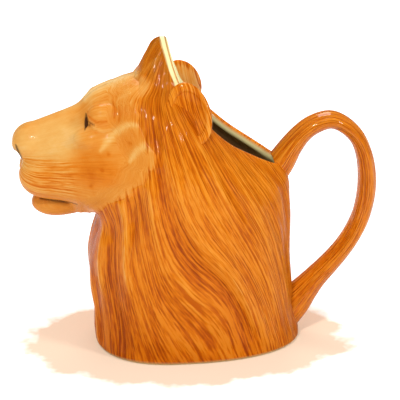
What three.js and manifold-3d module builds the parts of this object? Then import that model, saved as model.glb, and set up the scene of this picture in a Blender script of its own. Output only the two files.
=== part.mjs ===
// A table jug in the form of a lion's head and neck, slip-cast, painted and glazed.
// Millimetres, +Z up. The lion looks along -X, its left side is -Y, and the origin is
// the middle of the foot, on the table.
import * as THREE from 'three';
import { mergeVertices } from 'three/addons/utils/BufferGeometryUtils.js';
import Module from 'manifold-3d';

// Driving dimensions of the neck, which is the vessel
const FOOT_LENGTH = 104;
const FOOT_WIDTH = 77;
const MANE_WIDTH = 83;
const REAR_RIM_HEIGHT = 94;
const SPOUT_HEIGHT = 159;
const SPOUT_RISE = 19;
const MOUTH_WIDTH = 30;
const SHOULDER_DEPTH = 13;
const LOCK_HEIGHT = 2;
const ROOF_OVER_REAR_RIM = 3.5;
const ROOF_ROUNDING = 4;
const WALL = 4.5;
const FLOOR = 6;
const FOOT_RING_WIDTH = 6;
const FOOT_RECESS = 2;

// Driving dimensions of the head
const HEAD_REACH = 90;
const HEAD_WIDTH = 66;
const HEAD_BLEND = 9;
const FACE_BLEND = 8;
const FINE_BLEND = 5;
const NOSE_LENGTH = 19;
const NOSE_WIDTH = 14;
const NOSE_HEIGHT = 14.5;
const JAW_LENGTH = 36;
const JAW_WIDTH = 23;
const JAW_DEPTH = 13;
const MUZZLE_HOLLOW_LENGTH = 44;
const MUZZLE_HOLLOW_WIDTH = 26;
const MUZZLE_HOLLOW_HEIGHT = 21;
const EYE_LENGTH = 8;
const EYE_HEIGHT = 5;
const EYE_DEPTH = 4.5;

// Driving dimensions of the pouring lip, the ears and the handle
const LIP_ROOT_WIDTH = 34;
const LIP_TIP_WIDTH = 12.5;
const LIP_WALL = 3.6;
const LIP_BLEND = 7;
const LIP_SEAT_RADIUS = 26;
const MOUTH_ROUNDING = 6;
const EAR_HEIGHT = 25;
const EAR_LENGTH = 21;
const EAR_DEPTH = 12;
const EAR_SPREAD = 57;
const EAR_EDGE = 2.8;
const HANDLE_REACH = 90.5;
const HANDLE_HEIGHT = 117.3;
const HANDLE_THICKNESS = 9;
const HANDLE_WIDTH = 15;

// Fits and cuts
const FIT_GAP = 0.3;
const OVERRUN = 40;
const MERGE_DISTANCE = 0.0001;

// Counts of facets
const BODY_COLUMNS = 96;
const BODY_GATHER_SHARES = [0.3, 0.3];
const BODY_ROWS = 50;
const STRAND_STEPS = 24;
const CAVITY_COLUMNS = 40;
const CAVITY_ROWS = 24;
const OUTLINE_CORNERS = 48;
const LIP_COLUMNS = 28;
const LIP_ROWS = 20;
const JAW_COLUMNS = 24;
const JAW_ROWS = 14;
const EGG_COLUMNS = 20;
const EGG_ROWS = 14;
const EYE_COLUMNS = 14;
const EYE_ROWS = 10;
const HANDLE_STEPS = 34;
const HANDLE_SIDES = 12;
const RIM_STEPS = 24;
const RIM_GATHER = 1.6;
const RAY_STEPS = 48;
const RAY_HALVINGS = 20;

const HALF_LENGTH = FOOT_LENGTH / 2;
const CROWN_HEIGHT = SPOUT_HEIGHT - SPOUT_RISE;
const HEAD_SIZE = [HEAD_REACH, HEAD_WIDTH / 2, CROWN_HEIGHT];

// Chest and back outlines: height in shares of the rear rim's height, then distance from
// the foot's middle in shares of half the foot's length
const chestShares = [
  [-0.1, -0.99], [0.1, -0.99], [0.21, -0.995], [0.36, -1.025], [0.51, -1.045],
  [0.62, -1.005], [0.71, -0.95], [0.86, -0.865], [1.06, -0.81], [1.4, -0.73],
];
const backShares = [
  [-0.1, 1.02], [0.04, 1.01], [0.17, 0.96], [0.32, 0.93], [0.53, 0.904],
  [0.76, 0.896], [0.9, 0.885], [0.98, 0.837], [1.06, 0.79], [1.4, 0.73],
];
const WIDEST_SHARE = -0.23;
const SQUARENESS = 2.3;
const ROOF_SLOPE_SHARE = 0.7;

// Rim seen from the side: distance from the foot's middle in shares of half the foot's
// length, then height. On the lip that is in shares of the spout's rise over the crown, and
// on the mouth in shares of the crown's rise over the rear rim
const lipRimShares = [
  [-0.34, 1.855], [-0.29, 1], [-0.26, 0.625], [-0.225, 0.265], [-0.175, -0.11],
];
const mouthRimShares = [
  [-0.08, 0.79], [0.06, 0.608], [0.2, 0.445], [0.35, 0.304], [0.54, 0.17],
  [0.69, 0.071], [0.8, 0.007], [1.3, -0.127],
];
// Top of the neck under the head, in the same shares as the mouth
const roofShares = [
  [-1.15, 0], [-0.86, 0.353], [-0.58, 0.65], [-0.27, 0.805], [-0.08, 0.742],
  [0.135, 0.537], [0.27, 0.407], [0.4, 0.287], [0.54, 0.191], [0.69, 0.102],
  [0.865, 0.011], [1.15, -0.109],
];

// Line between face and mane, seen from the side: height in shares of the crown's height,
// then distance in shares of the head's reach
const hairlineShares = [
  [0.43, -0.69], [0.485, -0.63], [0.54, -0.545], [0.59, -0.474], [0.633, -0.39],
  [0.68, -0.313], [0.714, -0.273], [0.746, -0.248], [0.78, -0.258], [0.82, -0.29],
  [0.864, -0.329], [0.92, -0.322], [1, -0.311],
];
// Lean of the mane's strands from the vertical, in degrees: a row for each height in shares
// of the crown's height, a column for each place in shares of the way from chest to back
const leanHeightShares = [0.057, 0.2, 0.343, 0.486, 0.643, 0.786, 0.929];
const leanPlaceShares = [0, 0.15, 0.3, 0.42, 0.53, 0.62, 0.7, 0.8, 0.93, 1];
const strandLeans = [
  [0, 2, 8, 24, 33, 30, 18, 12, 6, 0],
  [0, 2, 8, 25, 43, 45, 25, 18, 8, 0],
  [0, 2, 6, 15, 42, 50, 32, 22, 10, 0],
  [0, 3, 6, 12, 28, 33, 28, 22, 10, 0],
  [0, 5, 8, 10, 18, 24, 25, 22, 10, 0],
  [0, 8, 10, 14, 22, 28, 25, 20, 10, 0],
  [0, 10, 20, 32, 38, 34, 28, 20, 8, 0],
];
const STRAND_RADIUS_SHARE = 1.08;
// Locks of the mane, whose place is where their strand starts at the top: place and half
// width in shares of the way round, height in shares of the highest lock, and the heights
// of their upper and lower ends in shares of the crown's height
const lockShares = [
  [0.395, 0.03, -1, 0.84, 0.14], [0.44, 0.03, 0.45, 0.75, 0.21], [0.35, 0.03, 0.35, 0.75, 0.29],
  [0.13, 0.018, 0.45, 0.5, 0], [0.165, 0.016, -0.4, 0.47, 0], [0.2, 0.018, 0.4, 0.44, 0],
  [0.24, 0.02, -0.35, 0.47, 0], [0.54, 0.02, -0.45, 0.68, 0.07], [0.62, 0.02, 0.3, 0.68, 0.07],
  [0.72, 0.02, -0.4, 0.64, 0.14],
];
const LOCK_FADE_SHARE = 0.086;
// Where the strands crowd together, low at the back, the locks run out: places round the
// neck, and heights in shares of the crown's height
const CROWDED_PLACE_SHARES = [0.42, 0.68];
const CROWDED_HEIGHT_SHARES = [0.3, 0.7];
const LOCK_WAVES = 7;
const LOCK_WAVE_SHARE = 0.3;
const LOCK_DRIFT_SHARE = 0.35;

// Masses of the head: middle and radii in shares of the head's reach, half its width and
// the crown's height, and the blend into those before it. Each stands on both sides
const skullShares = { middle: [-0.3, 0, 0.8], radii: [0.311, 0.758, 0.196] };
const headShares = [
  { middle: [-0.244, 0.333, 0.814], radii: [0.222, 0.485, 0.143], blend: FACE_BLEND },
  { middle: [-0.817, 0.227, 0.65], radii: [0.144, 0.318, 0.082], blend: FACE_BLEND },
  { middle: [-0.622, 0.333, 0.668], radii: [0.2, 0.424, 0.118], blend: HEAD_BLEND },
  { middle: [-0.422, 0.485, 0.664], radii: [0.222, 0.515, 0.164], blend: HEAD_BLEND },
  { middle: [-0.456, 0.182, 0.857], radii: [0.122, 0.273, 0.064], blend: FACE_BLEND },
  { middle: [-0.489, 0.455, 0.85], radii: [0.078, 0.152, 0.05], blend: FINE_BLEND },
];
const bridgeShares = {
  front: [-0.885, 0, 0.763], back: [-0.533, 0, 0.805], frontRadius: 0.205, backRadius: 0.364,
};
const noseMiddleShare = [-0.893, 0, 0.752];
const jawMiddleShare = [-0.7, 0, 0.535];
const chinMiddleShare = [-0.778, 0, 0.524];
const chinRadiiShare = [0.3, 0.43, 0.4];
const muzzleHollowShare = [-0.578, 0, 0.7];
const eyeMiddleShare = [-0.567, 0.47, 0.845];
const heartShare = [-0.056, 0, 0.607];

// Pouring lip: middles of its tip and root in shares of half the foot's length and of the
// spout's height
const lipTipShare = [-0.355, 0.945];
const lipRootShare = [-0.27, 0.805];
const LIP_SIDE_SHARE = 0.14;

// Plan of the mouth: its middle and its front edge in shares of half the foot's length
const MOUTH_MIDDLE_SHARE = 0.2;
const MOUTH_FRONT_SHARE = -0.27;

// Ear: its middle along X and Z in shares of half the foot's length and of the crown's
// height, and how far its cup is moved, in shares of the ear's own size
const earMiddleShare = [-0.086, 0.91];
const earCupShare = [0.04, 0.45, 0.02];

// Handle's middle line: from the back wall to its reach, and of its height, then thickness
// and width in shares of the plain section
const handleShares = [
  [-0.26, 0.74, 1.5, 1.15], [-0.125, 0.805, 1.42, 1.1], [-0.055, 0.844, 1.3, 1.05],
  [0.02, 0.886, 1.15, 1], [0.15, 0.942, 1, 0.95], [0.295, 0.979, 0.97, 0.93],
  [0.5, 1, 0.93, 0.93], [0.685, 0.974, 0.87, 0.93], [0.845, 0.92, 0.84, 0.95],
  [0.938, 0.852, 0.87, 0.97], [0.985, 0.781, 0.93, 1], [1, 0.704, 0.98, 1],
  [0.985, 0.632, 1, 1], [0.936, 0.553, 1, 1], [0.862, 0.486, 0.97, 1],
  [0.762, 0.423, 0.95, 1], [0.646, 0.367, 0.97, 1], [0.5, 0.307, 1.05, 1.02],
  [0.37, 0.257, 1.17, 1.05], [0.244, 0.199, 1.33, 1.1], [0.115, 0.133, 1.42, 1.12],
  [-0.08, 0.05, 1.45, 1.12],
];

const wasm = await Module();
wasm.setup();

// Fields: below zero inside a mass, and about the distance to its surface near it

function smoothMin(a, b, blend) {
  const overlap = Math.max(blend - Math.abs(a - b), 0) / blend;
  return Math.min(a, b) - overlap * overlap * blend / 4;
}

function smoothMax(a, b, blend) {
  return -smoothMin(-a, -b, blend);
}

function scaled(shares, sizes) {
  return shares.map((share, axis) => share * sizes[axis]);
}

function ellipsoidField([x, y, z], [midX, midY, midZ], [radX, radY, radZ]) {
  const unitX = (x - midX) / radX;
  const unitY = (y - midY) / radY;
  const unitZ = (z - midZ) / radZ;
  const reach = Math.sqrt(unitX ** 2 + unitY ** 2 + unitZ ** 2);
  const slope = Math.sqrt((unitX / radX) ** 2 + (unitY / radY) ** 2 + (unitZ / radZ) ** 2);
  return slope === 0 ? -Math.min(radX, radY, radZ) : reach * (reach - 1) / slope;
}

function coneField([x, y, z], from, to, fromRadius, toRadius) {
  const [alongX, alongY, alongZ] = to.map((value, axis) => value - from[axis]);
  const offX = x - from[0];
  const offY = y - from[1];
  const offZ = z - from[2];
  const along = offX * alongX + offY * alongY + offZ * alongZ;
  const share = THREE.MathUtils.clamp(along / (alongX ** 2 + alongY ** 2 + alongZ ** 2), 0, 1);
  const radius = THREE.MathUtils.lerp(fromRadius, toRadius, share);
  return Math.hypot(offX - alongX * share, offY - alongY * share, offZ - alongZ * share) - radius;
}

// A smooth line through the points of a table, level beyond its ends
function lineThrough(points) {
  const slopes = points.map((point, index) => {
    const before = points[Math.max(index - 1, 0)];
    const after = points[Math.min(index + 1, points.length - 1)];
    return (after[1] - before[1]) / (after[0] - before[0]);
  });
  return (at) => {
    const place = THREE.MathUtils.clamp(at, points[0][0], points[points.length - 1][0]);
    let index = 0;
    while (index < points.length - 2 && points[index + 1][0] < place) index += 1;
    const [x0, y0] = points[index];
    const [x1, y1] = points[index + 1];
    const span = x1 - x0;
    const t = (place - x0) / span;
    const ease = t * t * (3 - 2 * t);
    const leave = t * (1 - t) * (1 - t) * span * slopes[index];
    const arrive = t * t * (1 - t) * span * slopes[index + 1];
    return y0 + (y1 - y0) * ease + leave - arrive;
  };
}

const outline = (shares) => lineThrough(
  shares.map(([z, x]) => [z * REAR_RIM_HEIGHT, x * HALF_LENGTH]),
);
const overMouth = ([x, z]) => [
  x * HALF_LENGTH, THREE.MathUtils.lerp(REAR_RIM_HEIGHT, CROWN_HEIGHT, z),
];
const overCrown = ([x, z]) => [
  x * HALF_LENGTH, THREE.MathUtils.lerp(CROWN_HEIGHT, SPOUT_HEIGHT, z),
];
const rimLine = [...lipRimShares.map(overCrown), ...mouthRimShares.map(overMouth)];
const chestAt = outline(chestShares);
const backAt = outline(backShares);
const rimAt = lineThrough(rimLine);
const roofAt = lineThrough(roofShares.map(overMouth));
const hairlineAt = lineThrough(
  hairlineShares.map(([z, x]) => [z * CROWN_HEIGHT, x * HEAD_REACH]),
);

// Side wall of the neck: an egg-shaped section, wider up to the mane, whose half width
// closes in to the mouth near the roof
function neckSide([x, y, z], depth) {
  const mouthHalf = MOUTH_WIDTH / 2 - WALL / 2;
  const swell = 1 - Math.exp(-depth / SHOULDER_DEPTH);
  const up = Math.sin(Math.PI / 2 * THREE.MathUtils.clamp(z / REAR_RIM_HEIGHT, 0, 1));
  const fullHalf = THREE.MathUtils.lerp(FOOT_WIDTH, MANE_WIDTH, up) / 2;
  const half = Math.max(THREE.MathUtils.lerp(mouthHalf, fullHalf, swell), WALL / 4);
  const widest = WIDEST_SHARE * HALF_LENGTH;
  const reach = x < widest ? widest - chestAt(z) : backAt(z) - widest;
  const across = Math.abs(x - widest) / reach;
  const aside = Math.abs(y) / half;
  const round = (across ** SQUARENESS + aside ** SQUARENESS) ** (1 / SQUARENESS);
  if (round === 0) return -half;
  const slopeX = (across / round) ** (SQUARENESS - 1) / reach;
  const slopeY = (aside / round) ** (SQUARENESS - 1) / half;
  return (round - 1) / Math.hypot(slopeX, slopeY);
}

// Neck: its side wall, closed by the roof
function neckField(point) {
  const [x, , z] = point;
  const depth = Math.max(roofAt(x) + ROOF_OVER_REAR_RIM - z, -SHOULDER_DEPTH);
  return smoothMax(neckSide(point, depth), -ROOF_SLOPE_SHARE * depth, ROOF_ROUNDING);
}

const masses = headShares.map(({ middle, radii, blend }) => ({
  middle: scaled(middle, HEAD_SIZE), radii: scaled(radii, HEAD_SIZE), blend,
}));
const skullMiddle = scaled(skullShares.middle, HEAD_SIZE);
const skullRadii = scaled(skullShares.radii, HEAD_SIZE);
const bridgeFront = scaled(bridgeShares.front, HEAD_SIZE);
const bridgeBack = scaled(bridgeShares.back, HEAD_SIZE);
const bridgeFrontRadius = bridgeShares.frontRadius * HEAD_WIDTH / 2;
const bridgeBackRadius = bridgeShares.backRadius * HEAD_WIDTH / 2;

// Head: the masses of skull, crown, whisker pads, cheeks, forehead and brows, with the
// bridge of the nose
function headField([x, y, z]) {
  const point = [x, Math.abs(y), z];
  const bridge = coneField(point, bridgeFront, bridgeBack, bridgeFrontRadius, bridgeBackRadius);
  let field = ellipsoidField(point, skullMiddle, skullRadii);
  field = smoothMin(field, bridge, FACE_BLEND);
  for (const mass of masses) {
    field = smoothMin(field, ellipsoidField(point, mass.middle, mass.radii), mass.blend);
  }
  return field;
}

function readTable(value, places) {
  let index = 0;
  while (index < places.length - 2 && places[index + 1] < value) index += 1;
  const span = places[index + 1] - places[index];
  return [index, THREE.MathUtils.clamp((value - places[index]) / span, 0, 1)];
}

// Slope of the strands, read between the entries of the table of leans
function strandSlope(place, height) {
  const [column, across] = readTable(place, leanPlaceShares);
  const [row, up] = readTable(height / CROWN_HEIGHT, leanHeightShares);
  const slopeIn = (leans) => THREE.MathUtils.lerp(
    Math.tan(THREE.MathUtils.degToRad(leans[column])),
    Math.tan(THREE.MathUtils.degToRad(leans[column + 1])),
    across,
  );
  return THREE.MathUtils.lerp(slopeIn(strandLeans[row]), slopeIn(strandLeans[row + 1]), up);
}

// Place round the neck in shares of the way from chest to back
function placeRound([x, y]) {
  return Math.atan2(Math.abs(y), WIDEST_SHARE * HALF_LENGTH - x) / Math.PI;
}

// Where the strand through a point starts at the crown: the point is followed up its
// strand in small steps
function strandPlace(point) {
  const z = point[2];
  const radius = STRAND_RADIUS_SHARE * MANE_WIDTH / 2;
  const rise = Math.max(CROWN_HEIGHT - z, 0) / STRAND_STEPS;
  let place = placeRound(point);
  for (let step = 0; step < STRAND_STEPS; step += 1) {
    const turn = strandSlope(place, z + step * rise) * rise / (Math.PI * radius);
    place = THREE.MathUtils.clamp(place - turn, 0, 1);
  }
  return place;
}

// Relief of the mane: broad waves of hair with the locks on them, which end at the face,
// the rim and the foot
function maneRelief(point) {
  const [x, , z] = point;
  const fade = LOCK_FADE_SHARE * CROWN_HEIGHT;
  const behind = THREE.MathUtils.smoothstep(x - hairlineAt(z), 0, fade);
  const below = THREE.MathUtils.smoothstep(rimAt(x) - z, fade / 2, 2 * fade);
  const low = 1 - THREE.MathUtils.smoothstep(z / CROWN_HEIGHT, ...CROWDED_HEIGHT_SHARES);
  const crowded = low * THREE.MathUtils.smoothstep(placeRound(point), ...CROWDED_PLACE_SHARES);
  const edge = behind * below * THREE.MathUtils.smoothstep(z, 0, fade) * (1 - crowded);
  if (edge === 0) return 0;
  const place = strandPlace(point);
  const drift = LOCK_DRIFT_SHARE * Math.sin(2 * Math.PI * z / CROWN_HEIGHT);
  let relief = LOCK_WAVE_SHARE * Math.cos(2 * Math.PI * (LOCK_WAVES * place + drift));
  for (const [middle, half, height, top, bottom] of lockShares) {
    const up = z / CROWN_HEIGHT;
    const ends = THREE.MathUtils.smoothstep(up, bottom - LOCK_FADE_SHARE, bottom)
      * (1 - THREE.MathUtils.smoothstep(up, top, top + LOCK_FADE_SHARE));
    relief += height * ends * Math.exp(-(((place - middle) / half) ** 2));
  }
  return LOCK_HEIGHT * edge * relief;
}

function bodyField(point) {
  return smoothMin(neckField(point), headField(point), HEAD_BLEND) - maneRelief(point);
}

const CHEEK = 3;
const muzzleHollow = scaled(muzzleHollowShare, HEAD_SIZE);
const muzzleHollowRadii = [MUZZLE_HOLLOW_LENGTH / 2, MUZZLE_HOLLOW_WIDTH / 2, MUZZLE_HOLLOW_HEIGHT / 2];

// Hollow inside the neck, the skull and the cheeks, a wall's thickness in, with a plain
// pocket for the muzzle
function hollowField([x, y, z]) {
  const point = [x, Math.abs(y), z];
  const cheek = ellipsoidField(point, masses[CHEEK].middle, masses[CHEEK].radii);
  const skull = smoothMin(ellipsoidField(point, skullMiddle, skullRadii), cheek, HEAD_BLEND);
  const inside = smoothMin(neckField(point), skull, HEAD_BLEND) + WALL;
  return smoothMin(inside, ellipsoidField(point, muzzleHollow, muzzleHollowRadii), FACE_BLEND);
}

const chinMiddle = scaled(chinMiddleShare, HEAD_SIZE);
const chinRadii = scaled(chinRadiiShare, [JAW_LENGTH, JAW_WIDTH, JAW_DEPTH]);
const jawMiddle = scaled(jawMiddleShare, HEAD_SIZE);
const jawRadii = [JAW_LENGTH / 2, JAW_WIDTH / 2, JAW_DEPTH / 2];

// Lower jaw: a chin and a wider mass behind it
function jawField([x, y, z]) {
  const point = [x, Math.abs(y), z];
  const chin = ellipsoidField(point, chinMiddle, chinRadii);
  return smoothMin(chin, ellipsoidField(point, jawMiddle, jawRadii), FINE_BLEND);
}

const lipTip = [lipTipShare[0] * HALF_LENGTH, 0, lipTipShare[1] * SPOUT_HEIGHT];
const lipMiddle = [lipRootShare[0] * HALF_LENGTH, 0, lipRootShare[1] * SPOUT_HEIGHT];
const lipRoot = [lipMiddle[0], LIP_SIDE_SHARE * LIP_ROOT_WIDTH, lipMiddle[2]];
const lipHeart = lipTip.map((value, axis) => (value + lipMiddle[axis]) / 2);

// Pouring lip: the front half of a cone that narrows up to its tip, wider across at the
// root, whose sides run straight back to the rim
function lipField([x, y, z]) {
  const rootRadius = LIP_ROOT_WIDTH / 2 - lipRoot[1];
  const up = THREE.MathUtils.clamp((z - lipRoot[2]) / (lipTip[2] - lipRoot[2]), 0, 1);
  const front = Math.min(x, THREE.MathUtils.lerp(lipRoot[0], lipTip[0], up));
  return coneField([front, Math.abs(y), z], lipTip, lipRoot, LIP_TIP_WIDTH / 2, rootRadius);
}

// Channel of the pouring lip, open at its back and its top
function channelField([x, y, z]) {
  return lipField([x, y, Math.min(z, lipTip[2])]);
}

// The lip as it grows out of the head, within a ball round its root
function lipOnHead(point) {
  const [x, y, z] = point;
  const grown = smoothMin(lipField(point), bodyField(point), LIP_BLEND);
  const ball = Math.hypot(x - lipMiddle[0], y, z - lipMiddle[2]) - LIP_SEAT_RADIUS;
  return Math.min(lipField(point), Math.max(grown, ball));
}

// Solids

function solidOf(geometry) {
  const bare = geometry.index ? geometry : mergeVertices(geometry);
  bare.deleteAttribute('normal');
  bare.deleteAttribute('uv');
  const merged = mergeVertices(bare, MERGE_DISTANCE);
  return new wasm.Manifold(new wasm.Mesh({
    numProp: 3,
    vertProperties: new Float32Array(merged.attributes.position.array),
    triVerts: new Uint32Array(merged.index.array),
  }));
}

function geometryOf(solid) {
  const { vertProperties, triVerts } = solid.getMesh();
  const geometry = new THREE.BufferGeometry();
  geometry.setAttribute('position', new THREE.BufferAttribute(vertProperties, 3));
  geometry.setIndex(new THREE.BufferAttribute(triVerts, 1));
  return geometry;
}

// The last point inside the field on the way out from the heart of a mass
function surfacePoint(field, level, heart, direction, reach) {
  const at = (distance) => direction.map((value, axis) => heart[axis] + value * distance);
  let inside = 0;
  for (let step = RAY_STEPS; step > 0 && inside === 0; step -= 1) {
    const distance = reach * step / RAY_STEPS;
    if (field(at(distance)) < level) inside = distance;
  }
  let outside = inside + reach / RAY_STEPS;
  for (let halving = 0; halving < RAY_HALVINGS; halving += 1) {
    const middle = (inside + outside) / 2;
    if (field(at(middle)) < level) inside = middle;
    else outside = middle;
  }
  return at(inside);
}

// A closed skin of a mass that can be seen whole from its heart. Its columns stand
// closer round -X, and its rows closer about the level of the heart, as gather asks
function skinGeometry(field, level, heart, columns, rows, reach, gather = [0, 0]) {
  const points = [];
  const ray = (turn, lift) => surfacePoint(field, level, heart, [
    -Math.cos(turn) * Math.cos(lift), -Math.sin(turn) * Math.cos(lift), Math.sin(lift),
  ], reach);
  points.push(ray(0, -Math.PI / 2));
  for (let row = 1; row < rows; row += 1) {
    const v = 2 * row / rows - 1;
    const lift = Math.PI / 2 * (v * (1 - gather[1]) + v ** 3 * gather[1]);
    for (let column = 0; column < columns; column += 1) {
      const u = 2 * column / columns - 1;
      const turn = Math.PI * (u * (1 - gather[0]) + u ** 3 * gather[0]);
      points.push(ray(turn, lift));
    }
  }
  points.push(ray(0, Math.PI / 2));
  const index = [];
  const top = points.length - 1;
  for (let column = 0; column < columns; column += 1) {
    const next = (column + 1) % columns;
    index.push(0, 1 + next, 1 + column);
    for (let row = 0; row < rows - 2; row += 1) {
      const low = 1 + row * columns;
      const high = low + columns;
      index.push(low + column, low + next, high + next);
      index.push(low + column, high + next, high + column);
    }
    const last = 1 + (rows - 2) * columns;
    index.push(last + column, last + next, top);
  }
  const geometry = new THREE.BufferGeometry();
  geometry.setAttribute('position', new THREE.Float32BufferAttribute(points.flat(), 3));
  geometry.setIndex(index);
  return geometry;
}

const LONGEST_RAY = HEAD_REACH + CROWN_HEIGHT / 2;
const heart = scaled(heartShare, HEAD_SIZE);

function bodySkin(field, level, columns, rows) {
  return solidOf(skinGeometry(field, level, heart, columns, rows, LONGEST_RAY, BODY_GATHER_SHARES));
}

// A block over the whole plan between two heights
function slab(bottom, top) {
  const span = 2 * (HEAD_REACH + HANDLE_REACH);
  const block = new THREE.BoxGeometry(span, span, top - bottom);
  block.translate(0, 0, (bottom + top) / 2);
  return solidOf(block);
}

// A prism of all that stands above and behind the rim, set off outwards by a gap
function aboveRim(gap) {
  const [first] = rimLine[0];
  const [last] = rimLine[rimLine.length - 1];
  const shape = new THREE.Shape();
  shape.moveTo(last, SPOUT_HEIGHT + OVERRUN);
  shape.lineTo(first + gap, SPOUT_HEIGHT + OVERRUN);
  for (let step = 0; step <= RIM_STEPS; step += 1) {
    const share = step / RIM_STEPS;
    const x = first + (last - first) * share ** RIM_GATHER;
    shape.lineTo(x + gap, rimAt(x) + gap);
  }
  const width = MANE_WIDTH + 2 * OVERRUN;
  const prism = new THREE.ExtrudeGeometry(shape, { depth: width, bevelEnabled: false });
  prism.rotateX(Math.PI / 2);
  prism.translate(0, width / 2, 0);
  return solidOf(prism);
}

// A prism of the outline where a field has a level, seen from above
function planPrism(field, level, middle, bottom, top) {
  const shape = new THREE.Shape();
  for (let corner = 0; corner < OUTLINE_CORNERS; corner += 1) {
    const turn = 2 * Math.PI * corner / OUTLINE_CORNERS;
    const way = [Math.cos(turn), Math.sin(turn), 0];
    const [x, y] = surfacePoint(field, level, middle, way, HALF_LENGTH + OVERRUN);
    if (corner === 0) shape.moveTo(x, y);
    else shape.lineTo(x, y);
  }
  const prism = new THREE.ExtrudeGeometry(shape, { depth: top - bottom, bevelEnabled: false });
  prism.translate(0, 0, bottom);
  return solidOf(prism);
}

// Mouth: the wall follows the neck's outline at the rim, with a rounded front edge
function mouthField([x, y]) {
  const side = neckSide([x, y, rimAt(x)], ROOF_OVER_REAR_RIM);
  return smoothMax(side, MOUTH_FRONT_SHARE * HALF_LENGTH - WALL - x, MOUTH_ROUNDING);
}

function mouthCut() {
  const middle = [MOUTH_MIDDLE_SHARE * HALF_LENGTH, 0, 0];
  const bottom = REAR_RIM_HEIGHT - SHOULDER_DEPTH;
  return planPrism(mouthField, -WALL, middle, bottom, SPOUT_HEIGHT + OVERRUN);
}

function lipSkin(field, level) {
  return solidOf(skinGeometry(field, level, lipHeart, LIP_COLUMNS, LIP_ROWS, SPOUT_HEIGHT / 3));
}

const outerSkin = bodySkin(bodyField, 0, BODY_COLUMNS, BODY_ROWS);
const clearSkin = bodySkin(bodyField, FIT_GAP, BODY_COLUMNS, BODY_ROWS);
const rimCut = aboveRim(0);
const lipHollow = lipSkin(channelField, -LIP_WALL);
const hollow = bodySkin(hollowField, 0, CAVITY_COLUMNS, CAVITY_ROWS);
const cavity = hollow.add(mouthCut()).add(lipHollow);
const clearBody = clearSkin.subtract(aboveRim(FIT_GAP));
const clearLip = lipSkin(lipOnHead, FIT_GAP);

function bodyCasting() {
  const shell = outerSkin.subtract(cavity).subtract(rimCut);
  return shell.intersect(slab(FLOOR, SPOUT_HEIGHT + OVERRUN));
}

// Base: a slice of the same outline, hollowed underneath inside its foot ring
function baseSlab() {
  const recess = planPrism(neckField, -FOOT_RING_WIDTH, [0, 0, 0], -OVERRUN, FOOT_RECESS);
  return outerSkin.intersect(slab(0, FLOOR)).subtract(recess);
}

function pouringLip() {
  return lipSkin(lipOnHead, 0).subtract(lipHollow).subtract(rimCut).subtract(clearBody);
}

function lowerJaw() {
  const skin = skinGeometry(jawField, 0, jawMiddle, JAW_COLUMNS, JAW_ROWS, JAW_LENGTH);
  return solidOf(skin).subtract(clearBody);
}

// An egg of three diameters round a middle
function egg(middle, sizes, columns = EGG_COLUMNS, rows = EGG_ROWS) {
  const ball = new THREE.SphereGeometry(1 / 2, columns, rows);
  ball.rotateX(Math.PI / 2);
  ball.scale(...sizes);
  ball.translate(...middle);
  return solidOf(ball);
}

function nosePad() {
  const middle = scaled(noseMiddleShare, HEAD_SIZE);
  return egg(middle, [NOSE_LENGTH, NOSE_WIDTH, NOSE_HEIGHT]).subtract(clearBody);
}

function eye(side) {
  const aim = scaled(eyeMiddleShare, [HEAD_REACH, side * HEAD_WIDTH / 2, CROWN_HEIGHT]);
  const way = new THREE.Vector3(...aim).sub(new THREE.Vector3(...heart)).normalize();
  const middle = surfacePoint(bodyField, 0, heart, way.toArray(), LONGEST_RAY);
  const ball = egg(middle, [EYE_LENGTH, EYE_DEPTH, EYE_HEIGHT], EYE_COLUMNS, EYE_ROWS);
  return ball.subtract(clearBody);
}

// Ear: an egg with a cup taken out of its outer side, cut where the head and lip carry it
function ear(side) {
  const size = [EAR_LENGTH, EAR_DEPTH, EAR_HEIGHT];
  const aside = side * (EAR_SPREAD - EAR_DEPTH) / 2;
  const middle = [earMiddleShare[0] * HALF_LENGTH, aside, earMiddleShare[1] * CROWN_HEIGHT];
  const cupMiddle = middle.map((value, axis) => (
    value + earCupShare[axis] * size[axis] * (axis === 1 ? side : 1)
  ));
  const cupSize = size.map((value) => value - 2 * EAR_EDGE);
  return egg(middle, size).subtract(egg(cupMiddle, cupSize)).subtract(clearBody).subtract(clearLip);
}

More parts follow.
